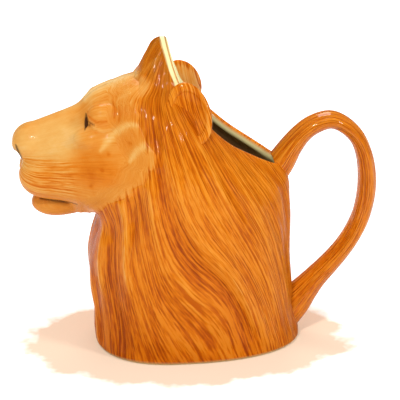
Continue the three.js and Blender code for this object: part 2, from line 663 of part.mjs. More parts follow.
// Handle: an oval section swept along its middle line, thicker where it meets the back
function handle() {
  const back = backShares[4][1] * HALF_LENGTH;
  const reach = HANDLE_REACH - HANDLE_THICKNESS / 2 - back;
  const top = HANDLE_HEIGHT - HANDLE_THICKNESS / 2;
  const line = new THREE.CatmullRomCurve3(
    handleShares.map(([x, z]) => new THREE.Vector3(back + x * reach, 0, z * top)),
  );
  const points = [];
  const index = [];
  for (let step = 0; step <= HANDLE_STEPS; step += 1) {
    const share = step / HANDLE_STEPS;
    const middle = line.getPoint(share);
    const tangent = line.getTangent(share);
    const place = share * (handleShares.length - 1);
    const low = Math.min(Math.floor(place), handleShares.length - 2);
    const [, , thickBefore, wideBefore] = handleShares[low];
    const [, , thickAfter, wideAfter] = handleShares[low + 1];
    const thickShare = THREE.MathUtils.lerp(thickBefore, thickAfter, place - low);
    const wideShare = THREE.MathUtils.lerp(wideBefore, wideAfter, place - low);
    const thick = thickShare * HANDLE_THICKNESS / 2;
    const wide = wideShare * HANDLE_WIDTH / 2;
    for (let side = 0; side < HANDLE_SIDES; side += 1) {
      const turn = 2 * Math.PI * side / HANDLE_SIDES;
      const out = thick * Math.cos(turn);
      points.push(middle.x - tangent.z * out, wide * Math.sin(turn), middle.z + tangent.x * out);
    }
  }
  const caps = [line.getPoint(0), line.getPoint(1)];
  caps.forEach((cap) => points.push(cap.x, 0, cap.z));
  const firstCap = (HANDLE_STEPS + 1) * HANDLE_SIDES;
  for (let side = 0; side < HANDLE_SIDES; side += 1) {
    const next = (side + 1) % HANDLE_SIDES;
    const last = HANDLE_STEPS * HANDLE_SIDES;
    index.push(firstCap, side, next);
    index.push(firstCap + 1, last + next, last + side);
    for (let step = 0; step < HANDLE_STEPS; step += 1) {
      const a = step * HANDLE_SIDES;
      const b = a + HANDLE_SIDES;
      index.push(a + side, b + side, b + next);
      index.push(a + side, b + next, a + next);
    }
  }
  const geometry = new THREE.BufferGeometry();
  geometry.setAttribute('position', new THREE.Float32BufferAttribute(points, 3));
  geometry.setIndex(index);
  return solidOf(geometry).subtract(clearBody).intersect(slab(0, HANDLE_HEIGHT + OVERRUN));
}

function glazed(color, roughness = 0.18) {
  return new THREE.MeshStandardMaterial({ color, roughness, metalness: 0 });
}

const mane = 0xc9762a;
const face = 0xd9a25c;
const ivory = 0xe9e2cc;
const group = new THREE.Group();

function place(name, solid, material) {
  const mesh = new THREE.Mesh(geometryOf(solid), material);
  mesh.name = name;
  group.add(mesh);
}

place('body_casting', bodyCasting(), glazed(mane));
place('base_slab', baseSlab(), glazed(ivory, 0.4));
place('pouring_lip', pouringLip(), glazed(mane));
place('lower_jaw', lowerJaw(), glazed(face));
place('nose_pad', nosePad(), glazed(0x3a2618));
place('left_eye', eye(-1), glazed(0x2c1a10));
place('right_eye', eye(1), glazed(0x2c1a10));
place('left_ear', ear(-1), glazed(mane));
place('right_ear', ear(1), glazed(mane));
place('handle', handle(), glazed(mane));

export default group;
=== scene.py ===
"""The lion jug's looks: one glazed skin over the cast body, a modelled face, cupped ears, a
looped handle and painted fur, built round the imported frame."""

import bpy
import numpy as np
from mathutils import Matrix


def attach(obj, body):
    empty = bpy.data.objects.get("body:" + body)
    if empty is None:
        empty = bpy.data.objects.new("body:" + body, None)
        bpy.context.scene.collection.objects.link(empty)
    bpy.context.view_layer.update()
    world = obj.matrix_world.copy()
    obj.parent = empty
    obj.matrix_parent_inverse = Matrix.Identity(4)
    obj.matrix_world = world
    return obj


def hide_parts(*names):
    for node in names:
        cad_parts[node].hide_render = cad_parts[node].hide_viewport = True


bl_info = {
    "name": "Lion Jug",
    "version": (1, 0, 0),
    "blender": (4, 5, 0),
    "location": "View3D > Sidebar > Lion Jug",
    "description": "Models and glazes a pottery jug in the form of a lion's head",
    "category": "Add Mesh",
}

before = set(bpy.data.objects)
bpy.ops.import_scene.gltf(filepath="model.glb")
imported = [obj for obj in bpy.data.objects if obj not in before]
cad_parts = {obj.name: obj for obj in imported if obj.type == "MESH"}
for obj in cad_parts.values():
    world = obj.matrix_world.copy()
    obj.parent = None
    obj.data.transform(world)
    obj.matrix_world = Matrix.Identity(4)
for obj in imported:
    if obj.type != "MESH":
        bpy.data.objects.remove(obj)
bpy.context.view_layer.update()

MM = 0.001
TINY = 1e-9

# Shapes of the neck and the head in millimetres, close to those of the frame's solids
FOOT_LENGTH = 104.0
HALF_LENGTH = FOOT_LENGTH / 2
FOOT_WIDTH = 77.0
MANE_WIDTH = 83.0
REAR_RIM_HEIGHT = 94.0
SPOUT_HEIGHT = 159.0
CROWN_HEIGHT = 140.0
MOUTH_WIDTH = 30.0
SHOULDER_DEPTH = 13.0
ROOF_OVER_REAR_RIM = 3.5
ROOF_ROUNDING = 4.0
ROOF_SLOPE = 0.7
WALL = 4.5
SQUARENESS = 2.3
WIDEST_X = -12.0
HEAD_REACH = 90.0
HEAD_HALF_WIDTH = 33.0
HEAD_SIZE = np.array([HEAD_REACH, HEAD_HALF_WIDTH, CROWN_HEIGHT])
HEAD_BLEND = 9.0
HEART = np.array([-5.0, 0.0, 85.0])

# Chest and back outlines (height, distance from the foot's middle), rim and roof seen from
# the side (distance, height). Distances are shares of half the foot's length. Heights are
# shares of the rear rim's height, for mouth and roof of the way from there to the crown,
# and for the lip of the way from the crown to the spout
CHEST_SHARES = [
    (-0.1, -0.99), (0.1, -0.99), (0.21, -0.995), (0.36, -1.025), (0.51, -1.045),
    (0.62, -1.005), (0.71, -0.95), (0.86, -0.865), (1.06, -0.81), (1.4, -0.73),
]
BACK_SHARES = [
    (-0.1, 1.02), (0.04, 1.01), (0.17, 0.96), (0.32, 0.93), (0.53, 0.904),
    (0.76, 0.896), (0.9, 0.885), (0.98, 0.837), (1.06, 0.79), (1.4, 0.73),
]
LIP_RIM_SHARES = [
    (-0.325, 1.855), (-0.275, 1), (-0.245, 0.625), (-0.209, 0.265), (-0.158, -0.11),
]
MOUTH_RIM_SHARES = [
    (-0.072, 0.79), (0.062, 0.608), (0.2, 0.445), (0.35, 0.304), (0.54, 0.17),
    (0.69, 0.071), (0.8, 0.007), (1.3, -0.127),
]
ROOF_SHARES = [
    (-1.15, 0), (-0.86, 0.353), (-0.58, 0.65), (-0.27, 0.805), (-0.08, 0.742),
    (0.135, 0.537), (0.27, 0.407), (0.4, 0.287), (0.54, 0.191), (0.69, 0.102),
    (0.865, 0.011), (1.15, -0.109),
]

# Masses of the head: middle and radii in shares of its reach, half width and crown height
SKULL_SHARES = ((-0.3, 0, 0.8), (0.311, 0.758, 0.189))
CHEEK_SHARES = ((-0.422, 0.485, 0.664), (0.222, 0.515, 0.164))
HEAD_SHARES = [
    ((-0.244, 0.333, 0.814), (0.222, 0.485, 0.143), 8.0),
    ((-0.817, 0.227, 0.65), (0.144, 0.318, 0.082), 8.0),
    ((-0.622, 0.333, 0.668), (0.2, 0.424, 0.118), 9.0),
    (CHEEK_SHARES[0], CHEEK_SHARES[1], 9.0),
    ((-0.456, 0.182, 0.857), (0.122, 0.273, 0.064), 8.0),
    ((-0.489, 0.455, 0.85), (0.078, 0.152, 0.05), 5.0),
]
BRIDGE = ((-79.65, 0, 106.8), (-47.97, 0, 112.7), 6.8, 12.0)
MUZZLE_POCKET = ((-52.0, 0, 98.0), (22.0, 13.0, 10.5))
BRIDGE_BLEND = 8.0
POCKET_BLEND = 8.0

# Finer masses of the face, in millimetres: middle, radii and blend
FACE_MASSES = [
    ((-81.8, 3.0, 105.6), (8.0, 6.0, 7.4), 4.0),
    ((-46.5, 15.8, 122.0), (6.8, 6.4, 6.4), 2.0),
    ((-44.0, 3.0, 122.0), (9.5, 8.0, 9.5), 5.0),
    ((-50.5, 18.5, 112.5), (9.0, 6.0, 4.6), 4.0),
    ((-75.0, 9.0, 91.5), (10.5, 9.0, 9.0), 4.0),
]
BRIDGE_TOP = ((-79.5, 0, 108.2), (-52.0, 0, 115.2), 6.6, 9.6)
BRIDGE_SIDE = ((-79.0, 4.2, 105.0), (-50.0, 8.5, 110.0), 5.6, 9.4)
TOP_BLEND = 4.0
SIDE_BLEND = 5.0
JAW_MASSES = [
    ((-70.5, 0, 74.4), (11.0, 10.2, 6.2)),
    ((-61.0, 0, 77.0), (17.0, 13.5, 7.5)),
]
JAW_BLEND = 5.0
MOUTH_BLEND = 1.6
CORNER_BLEND = 9.0
CORNER_SPAN = (-57, -63)
THROAT_HEIGHT = 62.0

# Pouring lip: tip, root, radii and wall
LIP_TIP = np.array([-16.5, 0.0, 151.0])
LIP_ROOT = np.array([-14.0, 4.8, 129.5])
LIP_TIP_RADIUS = 6.0
LIP_ROOT_RADIUS = 18.0
LIP_NARROWNESS = 1.45
LIP_BLEND = 5.0
LIP_WALL = 4.2
CHANNEL_BLEND = 4.0

# Line between face and mane, seen from the side: height, then distance
HAIRLINE = [
    (60, -62), (68, -57), (75.6, -49.3), (82.6, -42.7), (88.6, -35.1), (95, -28.4),
    (100, -24.8), (104.5, -22.4), (109, -23.2), (114.8, -26.1), (121, -29.6), (129, -29),
    (140, -28),
]


# Shapes worked out as fields: below zero inside, and about the distance to the surface

def smooth_min(a, b, blend):
    """The lower of two fields, rounded over a blend where they are nearly equal."""
    overlap = np.maximum(blend - np.abs(a - b), 0) / blend
    return np.minimum(a, b) - overlap * overlap * blend / 4


def smooth_max(a, b, blend):
    """The higher of two fields, rounded in the same way."""
    return -smooth_min(-a, -b, blend)


def smooth_step(low, high, value):
    """0 at low, 1 at high and level beyond them, eased by 3 t squared less 2 t cubed."""
    share = np.clip((value - low) / (high - low), 0, 1)
    return share * share * (3 - 2 * share)


def bump(value, width):
    """A bell: 1 where the value is 0, falling to nothing over about two widths."""
    return np.exp(-(value / width) ** 2)


def line_through(points):
    """A smooth line through the points of a table, level beyond its ends: cubics that have
    at each point the slope between its two neighbours."""
    at, value = np.array(points, dtype=float).T
    slope = np.empty_like(value)
    slope[1:-1] = (value[2:] - value[:-2]) / (at[2:] - at[:-2])
    slope[0] = (value[1] - value[0]) / (at[1] - at[0])
    slope[-1] = (value[-1] - value[-2]) / (at[-1] - at[-2])

    def line(where):
        """The cubic between the two points about each place."""
        place = np.clip(where, at[0], at[-1])
        index = np.clip(np.searchsorted(at, place) - 1, 0, len(at) - 2)
        span = at[index + 1] - at[index]
        t = (place - at[index]) / span
        ease = t * t * (3 - 2 * t)
        leave = t * (1 - t) ** 2 * span * slope[index]
        arrive = t * t * (1 - t) * span * slope[index + 1]
        return value[index] + (value[index + 1] - value[index]) * ease + leave - arrive

    return line


def lerp(a, b, share):
    """The value that lies a share of the way from a to b."""
    return a + (b - a) * share


chest_at = line_through([(z * REAR_RIM_HEIGHT, x * HALF_LENGTH) for z, x in CHEST_SHARES])
back_at = line_through([(z * REAR_RIM_HEIGHT, x * HALF_LENGTH) for z, x in BACK_SHARES])
roof_at = line_through([
    (x * HALF_LENGTH, lerp(REAR_RIM_HEIGHT, CROWN_HEIGHT, z)) for x, z in ROOF_SHARES
])
rim_at = line_through(
    [(x * HALF_LENGTH, lerp(CROWN_HEIGHT, SPOUT_HEIGHT, z)) for x, z in LIP_RIM_SHARES]
    + [(x * HALF_LENGTH, lerp(REAR_RIM_HEIGHT, CROWN_HEIGHT, z)) for x, z in MOUTH_RIM_SHARES]
)
hairline_at = line_through(HAIRLINE)


def ellipsoid(p, middle, radii):
    """How many radii out a point lies, times its excess over 1, by the slope of that
    number: about the distance to the ellipsoid."""
    q = (p - np.array(middle)) / np.array(radii)
    reach = np.sqrt((q * q).sum(-1)) + TINY
    slope = np.sqrt(((q / np.array(radii)) ** 2).sum(-1)) + TINY
    return reach * (reach - 1) / slope


def cone(p, start, end, start_radius, end_radius):
    """A round-ended cone: the distance to the nearest point of the line between its two
    middles, less the radius there."""
    start = np.array(start)
    along = np.array(end) - start
    share = np.clip((p - start) @ along / (along @ along), 0, 1)
    off = p - start - share[..., None] * along
    return np.sqrt((off * off).sum(-1)) - lerp(start_radius, end_radius, share)


def snug_cone(p, start, end, start_radius, end_radius):
    """The same with the distance taken square to the cone's side, not to its line, so that
    the side runs smoothly into both round ends."""
    along = end - start
    reach = np.sqrt(along @ along)
    up = (p - start) @ along / reach
    aside = np.sqrt(np.maximum(((p - start) ** 2).sum(-1) - up * up, 0))
    slope = (end_radius - start_radius) / reach
    share = np.clip((up + aside * slope / np.sqrt(1 - slope * slope)) / reach, 0, 1)
    off = p - start - share[..., None] * along
    return np.sqrt((off * off).sum(-1)) - lerp(start_radius, end_radius, share)


def mirrored(p):
    """The same points on the +Y side, so that one mass stands for a pair."""
    return np.stack([p[..., 0], np.abs(p[..., 1]), p[..., 2]], -1)


def neck_field(p):
    """An egg-shaped section, where the shares of its reach across and along, raised to a
    power, add up to 1. It is wider up to the mane and closes in under a rounded roof."""
    x, y, z = p[..., 0], p[..., 1], p[..., 2]
    depth = np.maximum(roof_at(x) + ROOF_OVER_REAR_RIM - z, -SHOULDER_DEPTH)
    swell = 1 - np.exp(-depth / SHOULDER_DEPTH)
    rise = np.sin(np.pi / 2 * np.clip(z / REAR_RIM_HEIGHT, 0, 1))
    full_half = lerp(FOOT_WIDTH, MANE_WIDTH, rise) / 2
    half = np.maximum(lerp(MOUTH_WIDTH / 2 - WALL / 2, full_half, swell), WALL / 4)
    reach = np.where(x < WIDEST_X, WIDEST_X - chest_at(z), back_at(z) - WIDEST_X)
    across = np.abs(x - WIDEST_X) / reach
    aside = np.abs(y) / half
    around = (across ** SQUARENESS + aside ** SQUARENESS) ** (1 / SQUARENESS) + TINY
    slope_x = (across / around) ** (SQUARENESS - 1) / reach
    slope_y = (aside / around) ** (SQUARENESS - 1) / half
    side = (around - 1) / (np.hypot(slope_x, slope_y) + TINY)
    return smooth_max(side, -ROOF_SLOPE * depth, ROOF_ROUNDING)


def scaled(share):
    """Shares of the head's reach, half width and crown height as millimetres."""
    return np.array(share) * HEAD_SIZE


def head_field(p):
    """Skull, bridge of the nose and the masses of crown, pads, cheeks and brows."""
    q = mirrored(p)
    field = ellipsoid(q, scaled(SKULL_SHARES[0]), scaled(SKULL_SHARES[1]))
    field = smooth_min(field, cone(q, *BRIDGE), BRIDGE_BLEND)
    for middle, radii, blend in HEAD_SHARES:
        field = smooth_min(field, ellipsoid(q, scaled(middle), scaled(radii)), blend)
    return field


def lip_field(p):
    """A cone that narrows to its tip, narrower across than deep. Behind its middle line its
    sides run straight back."""
    q = mirrored(p) * np.array([1, LIP_NARROWNESS, 1])
    up = np.clip((q[..., 2] - LIP_ROOT[2]) / (LIP_TIP[2] - LIP_ROOT[2]), 0, 1)
    q[..., 0] = np.minimum(q[..., 0], lerp(LIP_ROOT[0], LIP_TIP[0], up))
    return snug_cone(q, LIP_TIP, LIP_ROOT, LIP_TIP_RADIUS, LIP_ROOT_RADIUS)


def body_field(p):
    """Neck and head, then the lip, each rounded into the rest."""
    field = smooth_min(neck_field(p), head_field(p), HEAD_BLEND)
    return smooth_min(field, lip_field(p), LIP_BLEND)


def hollow_field(p):
    """The space inside: the neck and skull a wall in, the muzzle's pocket, the lip."""
    q = mirrored(p)
    skull = ellipsoid(q, scaled(SKULL_SHARES[0]), scaled(SKULL_SHARES[1]))
    cheek = ellipsoid(q, scaled(CHEEK_SHARES[0]), scaled(CHEEK_SHARES[1]))
    skull = smooth_min(skull, cheek, HEAD_BLEND)
    field = smooth_min(neck_field(p), skull, HEAD_BLEND) + WALL
    field = smooth_min(field, ellipsoid(q, *MUZZLE_POCKET), POCKET_BLEND)
    return smooth_min(field, lip_field(p) + LIP_WALL, CHANNEL_BLEND)


def jaw_field(p):
    """Chin and jaw, two ellipsoids rounded into each other."""
    q = mirrored(p)
    chin = ellipsoid(q, *JAW_MASSES[0])
    return smooth_min(chin, ellipsoid(q, *JAW_MASSES[1]), JAW_BLEND)


def muzzle_field(p):
    """The head with the finer masses of nose, lids, cheekbones and whisker pads."""
    q = mirrored(p)
    field = smooth_min(head_field(p), cone(q, *BRIDGE_SIDE), SIDE_BLEND)
    field = smooth_min(field, cone(q, *BRIDGE_TOP), TOP_BLEND)
    for middle, radii, blend in FACE_MASSES:
        field = smooth_min(field, ellipsoid(q, middle, radii), blend)
    return field


def face_field(p):
    """Muzzle, jaw and throat: the mouth is a sharp seam in front and rounded off behind its
    corners."""
    blend = lerp(CORNER_BLEND, MOUTH_BLEND, smooth_step(*CORNER_SPAN, p[..., 0]))
    field = smooth_min(muzzle_field(p), jaw_field(p), blend)
    throat = np.maximum(neck_field(p), THROAT_HEIGHT - p[..., 2])
    return smooth_min(field, throat, HEAD_BLEND)


# Rays, grids and noise

# Rays: where they start, how many steps they take, the share of the field that each goes,
# and the most that it goes back. All lengths are in millimetres
RAY_REACH = 175.0
RAY_STEPS = 60
RAY_PACE = 0.85
RAY_RETURN = 1.0
NEAR_START = 3.0
NEAR_STEPS = 22
LATTICE = 32


def outermost(origin, way, field, level=0.0, far=RAY_REACH, steps=RAY_STEPS):
    """Where rays meet a surface from outside: each steps in by a share of its field, and
    back out by a little where it has gone too far."""
    distance = np.zeros(way.shape[:-1]) + far
    for _ in range(steps):
        off = field(origin + way * distance[..., None]) - level
        distance = np.maximum(distance - RAY_PACE * np.maximum(off, -RAY_RETURN), 0)
    return origin + way * distance[..., None]


def met_again(origin, way, field, far):
    """Where rays meet a surface whose distance along them is nearly known: they start a
    little further out, and need fewer steps."""
    return outermost(origin, way, field, 0.0, far + NEAR_START, NEAR_STEPS)


def way_of(turn, lift):
    """Unit vectors by turn from -X towards -Y, and by lift from the level."""
    turn, lift = np.broadcast_arrays(turn, lift)
    flat = np.cos(lift)
    return np.stack([-np.cos(turn) * flat, -np.sin(turn) * flat, np.sin(lift)], -1)


def length(v):
    """The square root of the sum of a vector's squares."""
    return np.sqrt((v * v).sum(-1))


def unit(v):
    """The vector by its length."""
    return v / (length(v)[..., None] + TINY)


def grid_normals(grid):
    """Normals of a grid whose columns close: the cross product of its two slopes."""
    down = np.gradient(grid, axis=0)
    across = (np.roll(grid, -1, 1) - np.roll(grid, 1, 1)) / 2
    return unit(np.cross(across, down))


def raised(grid, heart, height):
    """A grid moved by a height along its normals, which are turned away from its heart."""
    normal = grid_normals(grid)
    heading = np.sign((normal * (grid - heart)).sum(-1).mean())
    return grid + heading * normal * height[..., None]


def lattice_noise(p, seed):
    """Smooth noise from 0 to 1: random values on a whole-number lattice, eased between."""
    table = np.random.default_rng(seed).random((LATTICE, LATTICE, LATTICE))
    cell = np.floor(p).astype(int)
    t = p - cell
    t = t * t * (3 - 2 * t)
    total = 0
    for corner in np.ndindex(2, 2, 2):
        weight = np.prod([t[..., k] if corner[k] else 1 - t[..., k] for k in range(3)], axis=0)
        place = [(cell[..., k] + corner[k]) % LATTICE for k in range(3)]
        total = total + weight * table[place[0], place[1], place[2]]
    return total


def crossing(values, rows):
    """The fractional row at which each column's value first rises past 0."""
    passed = values > 0
    passed[-1] = True
    first = np.maximum(np.argmax(passed, axis=0), 1)
    column = np.arange(values.shape[1])
    low, high = values[first - 1, column], values[first, column]
    share = np.clip(-low / (high - low + TINY), 0, 1)
    return lerp(rows[first - 1], rows[first], share)


def even_rows(profile, where, origin, weight, count):
    """Row places for each column, evenly spaced along the weighted profile, with the
    profile's distances from its origins there."""
    steps = length(np.diff(profile, axis=0)) * weight[1:]
    travelled = np.concatenate([np.zeros((1, steps.shape[1])), np.cumsum(steps, axis=0)])
    far = length(profile - origin)
    places = np.empty((2, count, profile.shape[1]))
    for column in range(profile.shape[1]):
        wanted = np.linspace(0, travelled[-1, column], count)
        for kept, values in zip(places, (where, far)):
            kept[:, column] = np.interp(wanted, travelled[:, column], values[:, column])
    return places


# Fur: strands are level lines of a place across them, which keeps its value down a strand

# Lean of the strands from the vertical on the unrolled neck, in degrees: rows by height in
# millimetres, columns by share of the way from the chest to the back
LEAN_HEIGHTS = [8, 28, 48, 68, 90, 110, 130]
LEAN_SHARES = [0, 0.15, 0.3, 0.42, 0.53, 0.62, 0.7, 0.8, 0.93, 1]
LEANS = [
    [0, 2, 8, 24, 33, 30, 18, 12, 6, 0],
    [0, 2, 8, 25, 43, 45, 25, 18, 8, 0],
    [0, 2, 6, 15, 42, 50, 32, 22, 10, 0],
    [0, 3, 6, 12, 28, 33, 28, 22, 10, 0],
    [0, 5, 8, 10, 18, 24, 25, 22, 10, 0],
    [0, 8, 10, 14, 22, 28, 25, 20, 10, 0],
    [0, 10, 20, 32, 38, 34, 28, 20, 8, 0],
]
STRAND_RADIUS = 45.0
STRAND_TOP = 132.0
STRAND_STEPS = 40


def lean_slope(share, height):
    """Slope of the strands across per unit down, read between the table's entries."""
    table = np.tan(np.radians(np.array(LEANS, dtype=float)))
    column = np.interp(share, LEAN_SHARES, np.arange(len(LEAN_SHARES)))
    row = np.interp(height, LEAN_HEIGHTS, np.arange(len(LEAN_HEIGHTS)))
    c = np.clip(column.astype(int), 0, len(LEAN_SHARES) - 2)
    r = np.clip(row.astype(int), 0, len(LEAN_HEIGHTS) - 2)
    s, t = column - c, row - r
    low = lerp(table[r, c], table[r, c + 1], s)
    return lerp(low, lerp(table[r + 1, c], table[r + 1, c + 1], s), t)


def strand_place(p):
    """Where the strand through each point starts at the top, from 0 at the chest to 1 at
    the back, and the side it is on: the point is followed up its strand in small steps."""
    share = np.arctan2(np.abs(p[..., 1]), WIDEST_X - p[..., 0]) / np.pi
    height = np.minimum(p[..., 2], STRAND_TOP)
    step = (STRAND_TOP - height) / STRAND_STEPS
    for _ in range(STRAND_STEPS):
        share = share - lean_slope(share, height) * step / (np.pi * STRAND_RADIUS)
        share = np.clip(share, 0, 1)
        height = height + step
    return share, np.where(p[..., 1] < 0, 1.0, -1.0)


def strand_coordinates(p):
    """Places on a cylinder whose turn is the strand's place, so that they close round."""
    share, side = strand_place(p)
    turn = side * share * np.pi
    flat = STRAND_RADIUS * np.stack([np.cos(turn), np.sin(turn)], -1)
    return np.concatenate([flat, -p[..., 2:3]], -1), share


# Each seed's locks are cut from another part of the noise
LOCK_SHIFT = 7.3
LOCK_ROUNDNESS = 0.7
LOCK_MEAN = 0.45


def locks(strand, pitch, run, seed):
    """Rounded ridges with sharp valleys between them, about their mean: how far noise is
    from its middle, raised to a power. Pitch and run are their sizes across and along."""
    p = strand / np.array([pitch, pitch, run]) + seed * LOCK_SHIFT
    return np.abs(2 * lattice_noise(p, seed) - 1) ** LOCK_ROUNDNESS - LOCK_MEAN


# Locks modelled one by one: place of the strand, half width, height, upper and lower ends
MODELLED_LOCKS = [
    (0.355, 0.022, -1.7, 118, 14),
    (0.388, 0.016, 1.1, 108, 24),
    (0.318, 0.018, 0.9, 100, 24),
    (0.285, 0.014, -0.8, 90, 20),
    (0.125, 0.012, 1.5, 66, 38),
    (0.062, 0.014, 1.3, 36, 0),
    (0.165, 0.016, -1.2, 66, 10),
    (0.09, 0.014, -0.9, 40, 0),
    (0.222, 0.013, 1.6, 84, 44),
    (0.254, 0.014, -1.0, 84, 40),
    (0.504, 0.012, 1.0, 112, 88),
    (0.47, 0.016, -0.7, 112, 40),
    (0.54, 0.02, -0.9, 95, 10),
    (0.62, 0.02, 0.6, 95, 10),
    (0.72, 0.02, -0.8, 90, 20),
]
LOCK_FADE = 12
LOCK_INSET = 4
LOCK_WAVES = 7
LOCK_DRIFT = 0.35
WAVE_HEIGHT = 0.45
# Broad locks, strands and fine hairs: height, size across and size along in millimetres, seed
FUR_LAYERS = [(0.7, 15.0, 75.0, 3), (0.6, 6.0, 42.0, 5), (0.42, 2.8, 26.0, 8)]


def between_ends(z, top, bottom):
    """1 between a modelled lock's two ends, easing to 0 beyond them."""
    low = smooth_step(bottom - LOCK_FADE, bottom + LOCK_INSET, z)
    return low * smooth_step(top + LOCK_FADE, top - LOCK_INSET, z)


def fur_relief(p, strand, share):
    """Height of the combed mane in millimetres: a wave round the neck that drifts as it goes
    up, the layers of locks, and bells over the strands of the modelled locks."""
    drift = LOCK_DRIFT * np.sin(2 * np.pi * p[..., 2] / CROWN_HEIGHT)
    relief = WAVE_HEIGHT * np.cos(2 * np.pi * (LOCK_WAVES * share + drift))
    for height, pitch, run, seed in FUR_LAYERS:
        relief = relief + height * locks(strand, pitch, run, seed)
    for place, half, height, top, bottom in MODELLED_LOCKS:
        fade = between_ends(p[..., 2], top, bottom)
        relief = relief + height * fade * bump(share - place, half)
    return relief


# Meshes

# Each mark keeps three numbers on every point of a piece. The strand is its place on the
# fur's strands, which patterns follow. The paint is how much of the face's paint, of dark
# paint and of bare glaze there is. The form is the relief, how much deeper than its mean
# the mane's paint is, and the strength of the face's strokes. The tone is the warmth of
# the face's paint, and how deep inside the jug bare glaze lies, which sets how far painted
# shade darkens it
MARKS = ("strand", "paint", "form", "tone")


def blank_marks(rows):
    """All marks for a grid of rows, at 0."""
    return {mark: np.zeros_like(rows) for mark in MARKS}


def make_piece(name, rows, marks):
    """A closed mesh from a grid of rows whose columns close, with a pole at each end. The
    sign of the volume under its faces says whether they have to be turned round."""
    count, columns = rows.shape[:2]
    poles = np.stack([rows[0].mean(0), rows[-1].mean(0)])
    points = np.concatenate([poles, rows.reshape(-1, 3)]) * MM
    index = 2 + np.arange(count * columns).reshape(count, columns)
    beside = np.roll(index, -1, 1)
    quads = np.stack([index[:-1], beside[:-1], beside[1:], index[1:]], -1).reshape(-1, 4)
    start = np.stack([np.zeros(columns, int), beside[0], index[0]], -1)
    end = np.stack([np.ones(columns, int), index[-1], beside[-1]], -1)
    a, b, c = (points[quads[:, k]] for k in (0, 1, 2))
    d = points[quads[:, 3]]
    volume = (np.cross(a, b) * c).sum() + (np.cross(a, c) * d).sum()
    if volume < 0:
        quads, start, end = quads[:, ::-1], start[:, ::-1], end[:, ::-1]
    mesh = bpy.data.meshes.new(name)
    mesh.vertices.add(len(points))
    mesh.vertices.foreach_set("co", points.astype(np.float32).ravel())
    corners = np.concatenate([quads.ravel(), start.ravel(), end.ravel()]).astype(np.int32)
    sizes = np.concatenate([np.full(len(quads), 4), np.full(2 * columns, 3)])
    starts = np.concatenate([[0], np.cumsum(sizes)[:-1]]).astype(np.int32)
    mesh.loops.add(len(corners))
    mesh.loops.foreach_set("vertex_index", corners)
    mesh.polygons.add(len(sizes))
    mesh.polygons.foreach_set("loop_start", starts)
    mesh.polygons.foreach_set("use_smooth", np.ones(len(sizes), bool))
    for mark, grid in marks.items():
        flat = grid.reshape(-1, 3)
        ends = np.stack([grid[0].mean(0), grid[-1].mean(0)])
        layer = mesh.attributes.new(mark, "FLOAT_VECTOR", "POINT")
        layer.data.foreach_set("vector", np.concatenate([ends, flat]).astype(np.float32).ravel())
    mesh.update(calc_edges=True)
    mesh.validate()
    piece = bpy.data.objects.new(name, mesh)
    bpy.context.scene.collection.objects.link(piece)
    return piece


def finish_piece(piece, material, nodes):
    """Gives a piece its material, hangs it on the root, and hides the frame's nodes that it stands
    for.
    """
    piece.data.materials.append(material)
    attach(piece, "root")
    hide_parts(*nodes)


# Materials

def linear(red, green, blue):
    """A colour given as a screen shows it, 0 to 255, as the linear values of a shader."""
    share = np.array([red, green, blue]) / 255
    curve = np.where(share <= 0.04045, share / 12.92, ((share + 0.055) / 1.055) ** 2.4)
    return tuple(float(v) for v in curve)


class Socket:
    """A value in a material: sums of sockets and numbers add the Math nodes they need."""

    def __init__(self, tree, socket):
        self.tree = tree
        self.socket = socket

    def math(self, operation, other):
        """One Math node, on this value and another."""
        return self.tree.node("ShaderNodeMath", {"operation": operation}, {0: self, 1: other})

    # Sum, difference and product with a number or a socket, and the same with it first
    def __add__(self, other):
        return self.math("ADD", other)

    def __sub__(self, other):
        return self.math("SUBTRACT", other)

    def __mul__(self, other):
        return self.math("MULTIPLY", other)

    def __rsub__(self, other):
        return self * -1 + other

    __radd__ = __add__
    __rmul__ = __mul__

    def clamp(self):
        """The value held between 0 and 1."""
        return self.tree.node("ShaderNodeClamp", {}, {0: self})


class Tree:
    """The nodes of a material or a world, made one after the other."""

    def __init__(self, owner):
        owner.use_nodes = True
        self.nodes = owner.node_tree.nodes
        self.links = owner.node_tree.links
        self.nodes.clear()

    def node(self, kind, settings, values, output=0):
        """Adds a node: settings first, then a value or a link for each named socket."""
        node = self.nodes.new(kind)
        for key, value in settings.items():
            if key == "stops":
                self.set_stops(node.color_ramp.elements, value)
            else:
                setattr(node, key, value)
        for key, value in values.items():
            if isinstance(value, Socket):
                self.links.new(value.socket, node.inputs[key])
            else:
                node.inputs[key].default_value = value
        return Socket(self, node.outputs[output]) if node.outputs else None

    def set_stops(self, elements, stops):
        """Puts a ramp's stops, each a place and a colour, in order."""
        while len(elements) < len(stops):
            elements.new(0.5)
        for element, (place, color) in zip(elements, stops):
            element.position = place
            element.color = (*color, 1)

    def stretched(self, vector, scale):
        """A vector times another, number by number."""
        settings = {"operation": "MULTIPLY"}
        return self.node("ShaderNodeVectorMath", settings, {0: vector, 1: scale})

    def noise(self, vector, scale, detail, roughness):
        """Noise from 0 to 1."""
        values = {"Vector": vector, "Scale": scale, "Detail": detail, "Roughness": roughness}
        return self.node("ShaderNodeTexNoise", {}, values, 0)

    def mix(self, factor, first, second):
        """Two colours mixed by a factor."""
        first = (*first, 1) if isinstance(first, tuple) else first
        second = (*second, 1) if isinstance(second, tuple) else second
        settings = {"data_type": "RGBA", "blend_type": "MIX", "clamp_factor": True}
        return self.node("ShaderNodeMix", settings, {0: factor, 6: first, 7: second}, 2)

    def span(self, value, low, high):
        """The value's share of the way from low to high, held between 0 and 1."""
        values = {"Value": value, "From Min": low, "From Max": high}
        return self.node("ShaderNodeMapRange", {"clamp": True}, values)


# The clear glaze as a coat, and how little the paint under it shines by itself
COAT = 0.18
COAT_ROUGHNESS = 0.05
PAINT_SHINE = 0.05
GLAZE_IOR = 1.5


